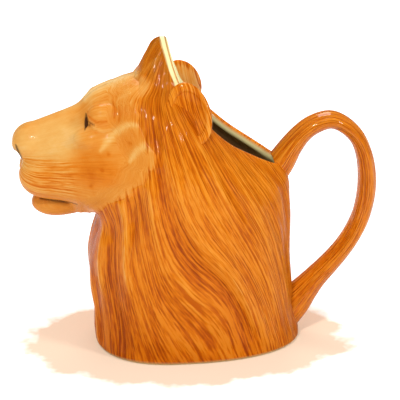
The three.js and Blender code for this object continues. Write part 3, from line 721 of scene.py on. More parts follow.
class Glaze(Tree):
    """A material built by expressions, ending in one glossy shader."""

    def __init__(self, name):
        self.material = bpy.data.materials.new(name)
        super().__init__(self.material)

    def vector_mark(self, name):
        """A vector kept on the mesh's points."""
        return self.node("ShaderNodeAttribute", {"attribute_name": name}, {}, "Vector")

    def mark(self, name, axis):
        """One number of a vector kept on the mesh's points."""
        return self.node("ShaderNodeSeparateXYZ", {}, {0: self.vector_mark(name)}, axis)

    def strand_noise(self, strand, across, along, detail, roughness):
        """Noise drawn out along the strands, by its scales across and along them."""
        return self.noise(self.stretched(strand, (across, across, along)), 1.0, detail, roughness)

    def finish(self, color, roughness, height, bump_distance, coat=COAT):
        """The shader: painted colour under a clear glaze, with the relief as a bump."""
        values = {"Strength": 1.0, "Distance": bump_distance, "Height": height}
        normal = self.node("ShaderNodeBump", {}, values)
        shader = self.node("ShaderNodeBsdfPrincipled", {}, {
            "Base Color": color, "Roughness": roughness, "Normal": normal, "IOR": GLAZE_IOR,
            "Specular IOR Level": PAINT_SHINE, "Coat Weight": coat, "Coat Roughness": COAT_ROUGHNESS,
        })
        self.node("ShaderNodeOutputMaterial", {}, {0: shader})
        return self.material


# Places of the paints: the mane's from its deepest to its palest, and the face's from its
# palest to its deepest
MANE_PLACES = [
    (0.0, "mane_deepest"), (0.25, "mane_deep"), (0.5, "mane_middle"), (0.75, "mane_light"),
    (1.0, "mane_palest"),
]
FACE_PLACES = [
    (0.0, "face_palest"), (0.3, "face_light"), (0.55, "face_middle"), (0.8, "face_deep"),
    (1.0, "face_deepest"),
]
# Patterns of the brush in the paint: scale across and along the strands, detail, roughness
HAIRS = (0.95, 0.03, 2.0, 0.5)
FINE_HAIRS = (1.9, 0.05, 1.0, 0.5)
SHORT_HAIRS = (2.3, 0.2, 1.0, 0.5)
CLOUDS = (0.13, 0.03, 2.0, 0.5)
MOTTLES = (0.2, 0.16, 3.0, 0.6)
STROKE_SPAN = (0.38, 0.57)
EDGE_SPAN = (0.28, 0.72)
BRUSH_DEPTH = 0.00028


def painted_glaze(name, paints, fur=1.0, coat=COAT):
    """Painted fur under glaze. The marks on the mesh say where the face, the dark paint
    and the bare cream lie, how warm the paint is, how far painted shade darkens the cream
    inside the jug, and where the strands run. Weighted sums of the marks and the brush's
    patterns choose a place on the ramp of each paint."""
    g = Glaze(name)
    mane_stops = [(place, tuple(getattr(paints, key))) for place, key in MANE_PLACES]
    face_stops = [(place, tuple(getattr(paints, key))) for place, key in FACE_PLACES]
    strand = g.vector_mark("strand")
    face, dark, bare = (g.mark("paint", axis) for axis in range(3))
    relief, deep, streaks = (g.mark("form", axis) for axis in range(3))
    warmth, inside = (g.mark("tone", axis) for axis in range(2))
    patterns = (HAIRS, FINE_HAIRS, SHORT_HAIRS, CLOUDS, MOTTLES)
    hairs, fine, short, cloud, mottle = (g.strand_noise(strand, *pattern) for pattern in patterns)
    stroke = g.span(fine * 0.38 + hairs * 0.34 + short * 0.28, *STROKE_SPAN)
    depth = relief * 0.06 + stroke * 0.5 + cloud * 0.22 + 0.07 - deep
    mane = g.node("ShaderNodeValToRGB", {"stops": mane_stops}, {0: depth.clamp()})
    tone = warmth + (0.5 - stroke) * streaks * 2 + (0.5 - mottle) * 0.34
    skin = g.node("ShaderNodeValToRGB", {"stops": face_stops}, {0: tone.clamp()})
    edge = g.span(face + (stroke - 0.5) * 0.4, *EDGE_SPAN)
    color = g.mix(edge, mane, skin)
    # Bare cream glaze, darkened inside the jug towards the inside colour as painted shade
    cream = g.mix(inside, tuple(paints.rim), tuple(paints.inside))
    color = g.mix(bare, color, cream)
    color = g.mix(dark, color, tuple(paints.line))
    height = stroke * (1 - edge * 0.75) * (1 - bare)
    rough = 0.2 + stroke * 0.06
    return g.finish(color, rough, height, BRUSH_DEPTH * fur, coat)


PLAIN_SHADE = 0.62
PLAIN_SPAN = (0.35, 0.7)
PLAIN_PATTERN = (180.0, 3.0, 0.55)
PLAIN_DEPTH = 0.00008


def plain_glaze(name, tint, roughness):
    """One glaze colour, mottled with a darker shade of it by noise."""
    g = Glaze(name)
    coords = g.node("ShaderNodeTexCoord", {}, {}, "Object")
    cloud = g.noise(coords, *PLAIN_PATTERN)
    shade = tuple(v * PLAIN_SHADE for v in tint)
    color = g.mix(g.span(cloud, *PLAIN_SPAN), shade, tint)
    return g.finish(color, roughness, cloud, PLAIN_DEPTH)


# Body: outer skin, rolled rim, inner wall, floor and foot in one closed grid

BODY_COLUMNS = 384
BODY_ROWS = 188
RIM_ROWS = 8
INNER_ROWS = 34
PROBE_ROWS = 150
FLOOR_PROBE_ROWS = 100
PROFILE_ROWS = 90
# Lifts, in degrees, between which foot, rim and floor are looked for from the heart
LOWEST_LIFT = -69
HIGHEST_LIFT = 88.6
FOOT_EDGE_Z = 1.4
FLOOR_EDGE_Z = 11.0
RIM_SET_BACK = 1.3
RIM_ROUNDNESS = 0.42
SLOPE_GAP = 0.25
# How soon, going down the inside, the rays' turns and the rows become the hollow's own
TURN_PACE = 3
SHIFT_PACE = 5
# Rows of the body that the face covers lie further apart than the others
COVERED_DEPTH = 5
COVERED_WEIGHT = 0.3
TUFT_DEPTH = 3.0
TUFT_SCALES = (0.2, 0.36)
TUFT_SHIFT = 9
TUFT_SEED = 31
# Where the face's paint eases out: by distance behind the hairline, which is shifted back
# on the crown, and by height at its upper end, whose line is slanted
FACE_FADE = (4.5, -6.5)
CROWN_SHIFT = 8
CROWN_SPAN = (131, 138)
PAINT_END = (146, 138)
PAINT_END_SLANT = 0.5
PAINT_END_SHIFT = 16
# Heights at the rim between which it becomes the lip's: for the wall, for the bare glaze,
# and for the width of its band
LIP_WALL_SPAN = (118, 134)
LIP_GLAZE_SPAN = (116, 130)
LIP_BAND_SPAN = (136, 152)
# Rings of the underside and of the floor: how far inward from the edge, and the height
FOOT_RINGS = [(44, 2), (26, 2), (9, 2), (7.6, 1.6), (7, 0), (2.4, 0), (0.9, 0.35)]
FLOOR_RINGS = [(0.8, 8.2), (2.6, 6.7), (5.5, 6), (20, 6), (34, 6)]


def face_share(p, behind):
    """How much of the face's paint there is, eased out over a distance behind the hairline.
    On the crown it runs on towards the lip, up to a slanted line."""
    crown = CROWN_SHIFT * smooth_step(*CROWN_SPAN, p[..., 2])
    share = smooth_step(*FACE_FADE, behind - crown)
    slanted = p[..., 2] + PAINT_END_SLANT * p[..., 0] + PAINT_END_SHIFT
    return share * smooth_step(*PAINT_END, slanted)


def hair_side(p):
    """Distance behind the line between face and mane, as seen from the side. Noise breaks
    the line into tufts."""
    across, up = TUFT_SCALES
    place = np.stack([0 * p[..., 2], p[..., 1] * across, p[..., 2] * up], -1)
    tufts = lattice_noise(place + TUFT_SHIFT, TUFT_SEED)
    return p[..., 0] - hairline_at(p[..., 2]) + TUFT_DEPTH * (tufts - 0.5)


def flat_rings(ring, rings):
    """Rings drawn in towards the middle: each by a distance, at a height."""
    middle = np.array([ring[:, 0].mean(), 0.0, 0.0])
    out = ring - middle
    out[:, 2] = 0
    reach = length(out)[:, None]
    return np.stack([
        middle + out * (1 - inward / reach) + np.array([0, 0, z]) for inward, z in rings
    ])


def outer_rows(turn, lifts):
    """Rows from the foot's edge up to the rim: where rays from the heart meet the body. A
    fan of rays finds the lifts of both edges, and the rows are spaced evenly between."""
    probe = outermost(HEART, way_of(turn[None], lifts[:, None]), body_field)
    low = crossing(probe[..., 2] - FOOT_EDGE_Z, lifts)
    over = probe[..., 2] + RIM_SET_BACK - rim_at(probe[..., 0] + RIM_SET_BACK)
    high = crossing(over, lifts)
    where = lerp(low, high, np.linspace(0, 1, PROFILE_ROWS)[:, None])
    profile = outermost(HEART, way_of(turn[None], where), body_field)
    weight = np.where(hair_side(profile) < -COVERED_DEPTH, COVERED_WEIGHT, 1.0)
    lift, far = even_rows(profile, where, HEART, weight, BODY_ROWS)
    return met_again(HEART, way_of(turn[None], lift), body_field, far)


def rim_rows(outer):
    """Rows over the rim, half an oval as wide as the wall, and the inner edge. Outward is
    the field's slope, squared to the edge's own line."""
    edge = outer[-1]
    slope = np.stack([
        body_field(edge + SLOPE_GAP * axis) - body_field(edge - SLOPE_GAP * axis)
        for axis in np.eye(3)
    ], -1)
    tangent = unit(np.roll(edge, -1, 0) - np.roll(edge, 1, 0))
    outward = unit(slope)
    outward = unit(outward - (outward * tangent).sum(-1)[:, None] * tangent)
    onward = np.cross(tangent, outward)
    onward = onward * np.sign((onward * (edge - outer[-2])).sum(-1))[:, None]
    wall = lerp(WALL, LIP_WALL, smooth_step(*LIP_WALL_SPAN, edge[:, 2])[:, None])
    inner_edge = edge - outward * wall
    middle = (edge + inner_edge) / 2
    angle = np.linspace(0, np.pi, RIM_ROWS + 2)[1:-1, None, None]
    across = outward * wall / 2 * np.cos(angle)
    return middle + across + onward * wall * RIM_ROUNDNESS * np.sin(angle), inner_edge


def inner_rows(turn, lifts, inner_edge):
    """Rows down the inside to the floor's edge: where rays from the heart meet the hollow.
    The first rays aim at the inner edge and the first rows start on it, and both ease over
    to the hollow's own."""
    off = inner_edge - HEART
    start_lift = np.arcsin(off[:, 2] / length(off))
    start_turn = np.arctan2(-off[:, 1], -off[:, 0])
    drift = (start_turn - turn + np.pi) % (2 * np.pi) - np.pi
    lifts = lifts[:FLOOR_PROBE_ROWS]
    probe = outermost(HEART, way_of(turn[None], lifts[:, None]), hollow_field)
    floor_lift = crossing(probe[..., 2] - FLOOR_EDGE_Z, lifts)
    down = np.linspace(0, 1, INNER_ROWS)[:, None]
    turns = turn + drift * np.clip(1 - TURN_PACE * down, 0, 1) ** 2
    inner = outermost(HEART, way_of(turns, lerp(start_lift, floor_lift, down)), hollow_field)
    shift = (inner_edge - inner[0]) * (np.clip(1 - SHIFT_PACE * down, 0, 1) ** 2)[..., None]
    return inner + shift


def body_rows():
    """The body's rows of points, from the middle of its underside, up its outside, over
    the rim and down inside to the middle of the floor."""
    turn = np.linspace(-np.pi, np.pi, BODY_COLUMNS, endpoint=False)
    lifts = np.radians(np.linspace(LOWEST_LIFT, HIGHEST_LIFT, PROBE_ROWS))
    outer = outer_rows(turn, lifts)
    roll, inner_edge = rim_rows(outer)
    inner = inner_rows(turn, lifts, inner_edge)
    return flat_rings(outer[0], FOOT_RINGS), outer, roll, inner, flat_rings(inner[-1], FLOOR_RINGS)


def body_fur(outer, behind, from_rim):
    """Strand places, their shares of the way round, and the fur's relief, which dies out
    at the rim, at the foot and under the face."""
    strand, share = strand_coordinates(outer)
    fade = smooth_step(0.5, 6, from_rim) * smooth_step(0.5, 7, outer[..., 2])
    fade = fade * smooth_step(-1.0, 6, behind)
    return strand, share, fur_relief(outer, strand, share) * fade


# The fold where the lip's side meets the crown, seen from the side
LIP_FOLD = [(-28.5, 139.8), (-24.8, 142.8), (-21.4, 145.8), (-18, 148.6)]
# Paleness along the lip's fold and on the crests of the raised locks: partly the fur's paint, partly
# painted highlight
LIP_FOLD_PALE = 0.2
FRONT_LOCK_PALE = 0.22
BACK_LOCK_PALE = 0.07
FRONT_LOCKS_END = 0.27


def mane_depth(p, share):
    """How much deeper than its mean the mane's paint is: on the throat, under the cheek,
    high up and at the foot, with pale edges along the modelled locks and the lip's fold,
    which are partly the fur's paint and partly painted highlight on their crests."""
    x, z = p[..., 0], p[..., 2]
    deep = 0.15 * smooth_step(0.34, 0.14, share) * smooth_step(96, 80, z)
    deep = deep + 0.1 * bump(share - 0.355, 0.025) * smooth_step(124, 110, z)
    deep = deep + 0.05 * smooth_step(30, 5, z)
    deep = deep + 0.1 * smooth_step(92, 116, z) * smooth_step(138, 128, z)
    # Pale along the fold and the raised locks' crests, partly painted highlight
    pale = LIP_FOLD_PALE * stroke_at(x, z, LIP_FOLD, 1.2)
    for place, half, height, top, bottom in MODELLED_LOCKS:
        ends = between_ends(z, top, bottom)
        amount = FRONT_LOCK_PALE if place < FRONT_LOCKS_END else BACK_LOCK_PALE
        pale = pale + amount * np.maximum(height, 0) * ends * bump(share - place, half * 0.7)
    return deep - pale


# How far the body is sunk under the face's shell
FACE_ROOM = 2.2
# Width of the bare glaze under the rim, at the lip's sides and at its tip
BARE_BAND = (3.3, 2.0)
BARE_FOOT = 0.7
# Painted shade from the inside, carried a little onto the rolled rim away from the lip
RIM_SHADE = 0.3


def build_body(settings, paints):
    """The outside is raised by the fur's relief and sunk under the face. Its marks follow
    the distance from the rim, the height and the side of the hairline."""
    under, outer, roll, inner, floor = body_rows()
    behind = hair_side(outer)
    from_rim = length(outer - outer[-1])
    strand, share, relief = body_fur(outer, behind, from_rim)
    sunk = -FACE_ROOM * smooth_step(1.2, -4.5, behind) * smooth_step(66, 73, outer[..., 2])
    sunk = sunk * smooth_step(2, 8, from_rim)
    outer = raised(outer, HEART, settings.relief * relief + sunk)
    rows = np.concatenate([under, outer, roll, inner, floor])
    skin = slice(len(under), len(under) + len(outer))
    rolled = slice(skin.stop, skin.stop + len(roll))
    inside = slice(rolled.stop, None)
    marks = blank_marks(rows)
    strands, paint, form, tone = marks.values()
    strands[:skin.start] = strand[0]
    strands[skin] = strand
    strands[skin.stop:] = strand[-1]

    edge_height = outer[-1, :, 2]
    lip = smooth_step(*LIP_GLAZE_SPAN, edge_height)
    reach = lerp(*BARE_BAND, smooth_step(*LIP_BAND_SPAN, edge_height))
    band = smooth_step(reach + 0.3, reach - 0.2, from_rim) * lip
    over = np.linspace(0, 1, len(roll))[:, None]
    paint[:skin.start, :, 2] = 1
    paint[skin, :, 2] = np.maximum(band, smooth_step(1.7, 1.0, outer[..., 2]) * BARE_FOOT)
    paint[rolled, :, 2] = smooth_step(lerp(0.45, 0.0, lip), lerp(0.7, 0.1, lip), over)
    paint[inside, :, 2] = 1
    paint[skin, :, 0] = face_share(outer, behind) * smooth_step(62, 74, outer[..., 2])

    warmth, streaks, _ = face_paint(outer)
    form[skin, :, 0] = relief
    form[skin, :, 1] = mane_depth(outer, share)
    form[skin, :, 2] = streaks
    tone[skin, :, 0] = warmth
    # Painted shade: bare glaze darkens towards the inside colour with depth below the rim, starting
    # deeper down under the lip, and a little on the rolled rim
    tone[rolled, :, 1] = RIM_SHADE * (1 - lip)
    depth_in = length(rows[inside] - rows[inside.start])
    tone[inside, :, 1] = smooth_step(lerp(-8, 9, lip), lerp(13, 26, lip), depth_in)
    piece = make_piece("body_skin", rows, marks)
    finish_piece(piece, painted_glaze("mane_glaze", paints),
                 ("body_casting", "base_slab", "pouring_lip"))


# Face: a shell over the front of the head, from the nose back under the mane

FACE_COLUMNS = 288
FACE_ROWS = 215
FACE_LINER_ROWS = 20
MUZZLE_HEART = np.array([-66.0, 0.0, 93.0])
SKULL_HEART = np.array([-10.0, 0.0, 110.0])
TUCK = 5.0
FACE_FAR = 48.0
FACE_SHELL = -3.4
FACE_STRAND_RADIUS = 19.0
FACE_STEPS = 40
FACE_PROBE_ROWS = 110
FACE_PROFILE_ROWS = 100
FIRST_RAY = 0.012
LAST_RAY = 1.95
EDGE_WINDOW = 15


def face_rays(angle, along):
    """Rays round the head's axis: a fan about the muzzle's heart up to 1 along, then
    square to the axis as their origin moves back to the skull's heart."""
    angle, along = np.broadcast_arrays(angle, along)
    axis = unit(MUZZLE_HEART - SKULL_HEART)
    up = unit(np.array([-axis[2], 0, axis[0]])) * np.sign(-axis[0])
    side = np.array([0.0, 1.0, 0.0])
    lean = np.pi / 2 * np.clip(along, 0, 1)[..., None]
    out = np.cos(angle)[..., None] * up + np.sin(angle)[..., None] * side
    way = np.cos(lean) * axis + np.sin(lean) * out
    back = np.clip(along - 1, 0, None)[..., None]
    origin = lerp(MUZZLE_HEART, SKULL_HEART, back)
    return origin + 0 * way, way


def face_rows():
    """Rows over the face, spaced evenly from its nose back under the mane, and those of its
    shell back to the nose. The far edge is where the rays come out of the hair, smoothed."""
    angle = np.linspace(-np.pi, np.pi, FACE_COLUMNS, endpoint=False)
    along = np.linspace(FIRST_RAY, LAST_RAY, FACE_PROBE_ROWS)
    origin, way = face_rays(angle, along[:, None])
    probe = outermost(origin, way, face_field, 0.0, FACE_FAR, FACE_STEPS)
    stray = length(probe - origin) > FACE_FAR
    end = crossing(np.where(stray, TUCK, hair_side(probe)) - TUCK + 0.01, along)
    window = np.hanning(EDGE_WINDOW)
    half = EDGE_WINDOW // 2
    padded = np.concatenate([end[-half:], end, end[:half]])
    end = np.minimum(end, np.convolve(padded, window / window.sum(), "valid"))
    where = lerp(along[0], end, np.linspace(0, 1, FACE_PROFILE_ROWS)[:, None])
    origin, way = face_rays(angle, where)
    profile = outermost(origin, way, face_field, 0.0, FACE_FAR, FACE_STEPS)
    places, far = even_rows(profile, where, origin, np.ones(where.shape), FACE_ROWS)
    outer = met_again(*face_rays(angle, places), face_field, far)
    back = lerp(end, along[0], np.linspace(0, 1, FACE_LINER_ROWS)[:, None])
    liner = outermost(*face_rays(angle, back), face_field, FACE_SHELL, FACE_FAR, FACE_STEPS)
    return outer, liner


# Painted patches, seen from the side: middle, reach along and across, tilt, warmth added
FACE_PATCHES = [
    ((-72, 109), (22, 8), 18, -0.20),
    ((-50, 101), (11, 10), 0, 0.16),
    ((-55, 96), (7, 5), 20, 0.08),
    ((-33.5, 113.5), (7, 5), 10, 0.07),
    ((-43.5, 89), (8, 3.6), -8, -0.06),
    ((-55, 83.5), (5, 3.5), 30, -0.04),
    ((-72, 94.5), (11, 6.5), 0, 0.10),
    ((-70, 84.6), (11, 1.8), 4, -0.02),
    ((-47.5, 124.5), (6, 4.5), 20, -0.06),
    ((-62, 112), (5, 4), 30, -0.10),
    # Painted shade in the corner of the eye
    ((-56, 113), (4, 3), 0, 0.05),
    ((-38, 125), (5, 6), 0, 0.10),
    ((-31, 130), (5, 8), 0, 0.08),
    ((-70, 73), (10, 4), 0, -0.03),
]
# Painted strokes: warmth added, half width, and the points that they run through
FACE_STROKES = [
    # The first two, pale along the crest of the brow ridge, are partly the face's paint and partly
    # painted highlight
    (-0.26, 1.6, [(-54, 127), (-50.5, 131), (-44, 134.3), (-36, 137.3), (-29, 139.5)]),
    (-0.16, 1.0, [(-38, 131), (-33, 134), (-27, 136)]),
    (0.10, 1.4, [(-50, 127.5), (-43, 130.5), (-36, 133)]),
    (0.24, 0.8, [(-41.2, 130), (-40, 126.5), (-40.5, 123)]),
    (0.14, 0.7, [(-38.2, 128), (-37.6, 124.5), (-38.6, 121)]),
    (-0.34, 1.9, [(-47.5, 108.5), (-44.3, 112.2), (-40, 117), (-34.5, 120.5), (-29, 121.2)]),
    (-0.34, 1.8, [(-34, 104.5), (-30.5, 109.6), (-26.8, 112.4), (-24, 110.5)]),
    (0.30, 0.8, [(-52.8, 123.5), (-49, 121.3), (-44, 121.8)]),
    (-0.20, 0.9, [(-50.5, 118.4), (-46, 117), (-42, 118)]),
]
# Dark lines: strength, half width, how far out to the side they start, and their points
FACE_DARK = [
    (0.95, 0.6, 9.0, [(-53.6, 122.4), (-53.8, 119.8), (-54.5, 117)]),
    (0.85, 0.45, 9.0, [(-53.4, 120.4), (-52, 120.3), (-50, 119.6)]),
    (0.7, 0.4, 9.0, [(-54.2, 118.4), (-52.8, 118.8), (-51.8, 119.8)]),
    (0.95, 0.8, 5.0, [(-88.0, 106.4), (-87.3, 104), (-86.3, 101.2), (-85.4, 99)]),
    (0.9, 0.55, 3.0, [(-77.2, 78.4), (-72.3, 79), (-67.4, 79.9), (-63, 79.4), (-59.2, 78.7)]),
]
# Where bridge, forehead and whisker pads come in, by distance and by height
BRIDGE_ALONG = (-50, -64)
BRIDGE_OVER = (98.5, 103.5)
FOREHEAD_OVER = (122, 130)
PADS_ALONG = (-56, -64)
PADS_OVER = (82, 87)
PADS_UNDER = (103.5, 99.5)
FACE_WARMTH = 0.67
BRIDGE_PALE = 0.15
FOREHEAD_PALE = 0.06
PADS_DEEP = 0.02
# Small flecks of deeper paint: place and half width
FACE_SPOTS = [
    ((-43.8, 107.5), 0.9), ((-52.4, 91.8), 1.0), ((-47, 100), 0.8), ((-33.4, 112.6), 0.8),
]
SPOT_WARMTH = 0.25
# Paler along the middle of the crown's ridge: partly the face's paint, partly painted highlight
CROWN_RIDGE_PALE = 0.25


def patches_at(x, z, patches):
    """Sum of painted patches: soft ovals, each turned by its tilt."""
    total = np.zeros_like(x)
    for (at_x, at_z), (along, across), tilt, amount in patches:
        turn = np.radians(tilt)
        u = (x - at_x) * np.cos(turn) + (z - at_z) * np.sin(turn)
        v = (z - at_z) * np.cos(turn) - (x - at_x) * np.sin(turn)
        total = total + amount * smooth_step(1.5, 0.4, np.hypot(u / along, v / across))
    return total


def stroke_at(x, z, points, half):
    """A painted stroke: a bell of the distance to its line, thinning towards its ends."""
    points = np.array(points, dtype=float)
    total = np.zeros_like(x)
    pieces = len(points) - 1
    for index, (start, end) in enumerate(zip(points[:-1], points[1:])):
        along = end - start
        share = ((x - start[0]) * along[0] + (z - start[1]) * along[1]) / (along @ along)
        held = np.clip(share, 0, 1)
        off = np.hypot(x - start[0] - held * along[0], z - start[1] - held * along[1])
        place = (index + held) / pieces
        width = half * (0.35 + 0.65 * np.sin(np.pi * np.clip(place, 0.02, 0.98)) ** 0.6)
        total = np.maximum(total, bump(off, width))
    return total


def face_paint(p):
    """Warmth of the face's paint, from 0, cream, to 1, deep orange, the strength of its
    brush strokes, and its dark lines."""
    q = mirrored(p)
    x, y, z = q[..., 0], q[..., 1], q[..., 2]
    bridge = smooth_step(*BRIDGE_ALONG, x) * smooth_step(*BRIDGE_OVER, z)
    forehead = smooth_step(*FOREHEAD_OVER, z)
    pads = smooth_step(*PADS_ALONG, x) * smooth_step(*PADS_OVER, z) * smooth_step(*PADS_UNDER, z)
    warmth = FACE_WARMTH - BRIDGE_PALE * bridge - FOREHEAD_PALE * forehead + PADS_DEEP * pads
    warmth = warmth + patches_at(x, z, FACE_PATCHES)
    for amount, half, points in FACE_STROKES:
        warmth = warmth + amount * stroke_at(x, z, points, half)
    for (at_x, at_z), size in FACE_SPOTS:
        warmth = warmth + SPOT_WARMTH * bump(np.hypot(x - at_x, z - at_z), size)
    # Paler along the crown's middle line, partly painted highlight
    warmth = warmth - CROWN_RIDGE_PALE * bump(y, 3.0) * smooth_step(-80, -50, x) * smooth_step(118, 124, z)
    streaks = 0.06 + 0.24 * pads + 0.08 * forehead + 0.05 * smooth_step(-48, -34, x)
    streaks = streaks - 0.03 * bridge
    dark = np.zeros_like(x)
    for amount, half, aside, points in FACE_DARK:
        side = smooth_step(aside - 1, aside + 1, y)
        dark = np.maximum(dark, amount * side * stroke_at(x, z, points, half))
    return warmth, streaks, dark


# Middle and reach of nostril, eye socket and brow, and how deep each feature is sunk
NOSTRIL = ((-88.0, 4.2, 101.8), (3.2, 2.8, 3.4))
SOCKET = ((-53.9, 14.6, 119.3), (2.2, 4.0, 3.0))
BROW = ((-46.5, 20.0, 123.6), (7.6, 8.0, 7.0))
SEAM_DEPTH = 0.9
NOSTRIL_DEPTH = 1.3
CLEFT_DEPTH = 0.9
SOCKET_DEPTH = 0.5
FOLD_DEPTH = 0.5
WRINKLE_HEIGHT = 0.10


def radii_out(p, middle, radii):
    """How many radii a point is from a middle."""
    return length((p - np.array(middle)) / np.array(radii))


def face_features(p):
    """Displacement and dark paint of the mouth, nostrils, lids and folds: bells over their
    lines and middles, each held to its own part of the face."""
    q = mirrored(p)
    x, y, z = q[..., 0], q[..., 1], q[..., 2]
    seam = bump(muzzle_field(p) - jaw_field(p), 0.75) * smooth_step(-61, -65, x)
    seam = seam * smooth_step(88, 85, z) * smooth_step(72, 75, z)
    nostril = bump(radii_out(q, *NOSTRIL), 1.0)
    cleft = bump(y, 0.8) * smooth_step(101, 98, z) * smooth_step(82, 85, z)
    cleft = cleft * smooth_step(-80, -83, x)
    socket = bump(radii_out(q, *SOCKET), 1.0)
    brow = radii_out(q, *BROW)
    fold = bump(brow - 1.06, 0.08) * smooth_step(-36, -42, x)
    sink = -SEAM_DEPTH * seam - NOSTRIL_DEPTH * nostril - CLEFT_DEPTH * cleft
    sink = sink - SOCKET_DEPTH * socket - FOLD_DEPTH * fold
    wrinkle = np.sin((z - 0.2 * x) * 3.4) * bump(brow, 0.8)
    sink = sink + WRINKLE_HEIGHT * wrinkle
    dark = 1.2 * seam ** 1.5 + 1.1 * nostril ** 2 + 0.45 * cleft
    return sink, np.clip(dark, 0, 1)


def face_strands(p, behind):
    """Places on a cylinder about an axis that rises from the nose to the skull. Near the
    mane they pass over into the mane's own."""
    x, z = p[..., 0], p[..., 2]
    axis = lerp(99.0, 104.0, smooth_step(-80, -40, x))
    turn = np.arctan2(p[..., 1], z - axis)
    strand = np.stack([FACE_STRAND_RADIUS * np.cos(turn), FACE_STRAND_RADIUS * np.sin(turn), x], -1)
    mane, _ = strand_coordinates(p)
    return lerp(strand, mane, smooth_step(-15, -3, behind)[..., None])


def face_fur(p):
    """Height of the face's hair in millimetres: most on the pads, least on the bridge."""
    x, z = p[..., 0], p[..., 2]
    fur = 0.10 + 0.14 * smooth_step(-66, -58, x) + 0.22 * bump(z - 93, 8) * smooth_step(-58, -64, x)
    return fur - 0.08 * smooth_step(-50, -64, x) * smooth_step(98, 103, z)


FACE_HAIR = (3.4, 24.0, 11)
# How far the shell is tucked in under the mane and against the throat
MANE_TUCK = 2.6
THROAT_TUCK = 1.6
FACE_BRUSH = 0.5
FACE_COAT = 0.07


def build_face(settings, paints):
    """The face is raised by its hair and sunk by its features and at its hidden edges."""
    outer, liner = face_rows()
    sink, dark = face_features(outer)
    warmth, streaks, lines = face_paint(outer)
    behind = hair_side(outer)
    tuck = -MANE_TUCK * smooth_step(-1.0, TUCK - 0.5, behind)
    throat = smooth_step(1.6, 0.2, neck_field(outer)) * smooth_step(77, 71, outer[..., 2])
    tuck = tuck - THROAT_TUCK * throat
    strand = face_strands(outer, behind)
    hair = locks(strand, *FACE_HAIR)
    outer = raised(outer, MUZZLE_HEART, sink + tuck + settings.relief * face_fur(outer) * hair)
    rows = np.concatenate([outer, liner])
    skin = slice(0, len(outer))
    marks = blank_marks(rows)
    strands, paint, form, tone = marks.values()
    strands[skin] = strand
    paint[..., 0] = 1
    paint[skin, :, 0] = face_share(outer, behind)
    paint[skin, :, 1] = np.maximum(dark, lines)
    form[skin, :, 0] = hair
    form[skin, :, 2] = streaks
    tone[skin, :, 0] = warmth
    piece = make_piece("face_skin", rows, marks)
    glaze = painted_glaze("face_glaze", paints, FACE_BRUSH, FACE_COAT)
    finish_piece(piece, glaze, ("lower_jaw", "nose_pad"))


# Eyes, ears and handle

EYE_MIDDLE = np.array([-53.2, 13.9, 118.9])
EYE_LENGTH = 2.8
EYE_HEIGHT = 5.4
EYE_DEPTH = 6.0
EYE_LEAN = np.array([0.1, -1.2])
EYE_ROWS = 24
EYE_COLUMNS = 48
EYE_ROUGHNESS = 0.08


def build_eyes(settings):
    """Each eye is a small glossy oval, set in a slit and leaning with the face: a ball times
    its radii, moved along by its height."""
    radii = np.array([settings.length / MM, EYE_DEPTH, settings.height / MM]) / 2
    lift = np.linspace(-np.pi / 2, np.pi / 2, EYE_ROWS + 2)[1:-1, None]
    turn = np.linspace(0, 2 * np.pi, EYE_COLUMNS, endpoint=False)[None]
    ball = np.stack([
        np.cos(lift) * np.cos(turn), np.cos(lift) * np.sin(turn), np.sin(lift) + 0 * turn,
    ], -1)
    for side, name in ((-1, "left_eye"), (1, "right_eye")):
        rows = ball * radii
        rows[..., :2] = rows[..., :2] + EYE_LEAN * rows[..., 2:]
        rows = (rows + EYE_MIDDLE) * np.array([1, side, 1])
        piece = make_piece(name + "_ball", rows, {"strand": np.zeros_like(rows)})
        glaze = plain_glaze(name + "_glaze", tuple(settings.color), EYE_ROUGHNESS)
        finish_piece(piece, glaze, (name,))


EAR_MIDDLE = np.array([-5.0, 25.6, 125.0])
EAR_LONG = np.array([0.28, 0.435, -0.856])
EAR_WIDE = np.array([0.948, -0.263, 0.176])
EAR_LENGTH = 31.0
EAR_WIDTH = 19.8
EAR_ROOT_WIDTH = 10.0
EAR_LIFT = 3.0
EAR_ROOT_HEIGHT = -3.2
EAR_DISH = -1.2
EAR_DEPTH = -4.6
EAR_ROLL = 1.6
EAR_COLUMNS = 128
EAR_ROWS = 84
DISH_END = 0.4
ROLL_END = 0.62
DISH_REACH = 0.7
EAR_REACH_BACK = 0.98
EAR_BACK_POWER = 2.2
EAR_FREE_TURN = 0.35
EAR_FREE_POWER = 0.7
EAR_FIRST_ROW = 0.01
EAR_HAIR = (3.6, 20.0, 15)
EAR_HAIR_HEIGHT = 0.25
EAR_BRUSH = 0.8


def ear_profile(v, edge):
    """An ear's section for v from 0, the middle of its dish, over its rolled edge, to 1,
    the middle of its back: the share of its half width, and the height from its plane."""
    inside = np.clip(v / DISH_END, 0, 1)
    rolled = np.pi * np.clip((v - DISH_END) / (ROLL_END - DISH_END), 0, 1)
    behind = np.clip((v - ROLL_END) / (1 - ROLL_END), 0, 1)
    half = (1 - DISH_REACH) / 2
    reach = DISH_REACH * inside + half * (1 - np.cos(rolled)) - EAR_REACH_BACK * behind
    dish = lerp(EAR_DISH, edge, inside ** 2)
    roll = edge + EAR_ROLL * np.sin(rolled)
    back = lerp(edge, EAR_DEPTH, 1 - (1 - behind) ** EAR_BACK_POWER)
    height = np.where(v < DISH_END, dish, np.where(v <= ROLL_END, roll, back))
    return reach + 0 * height, height


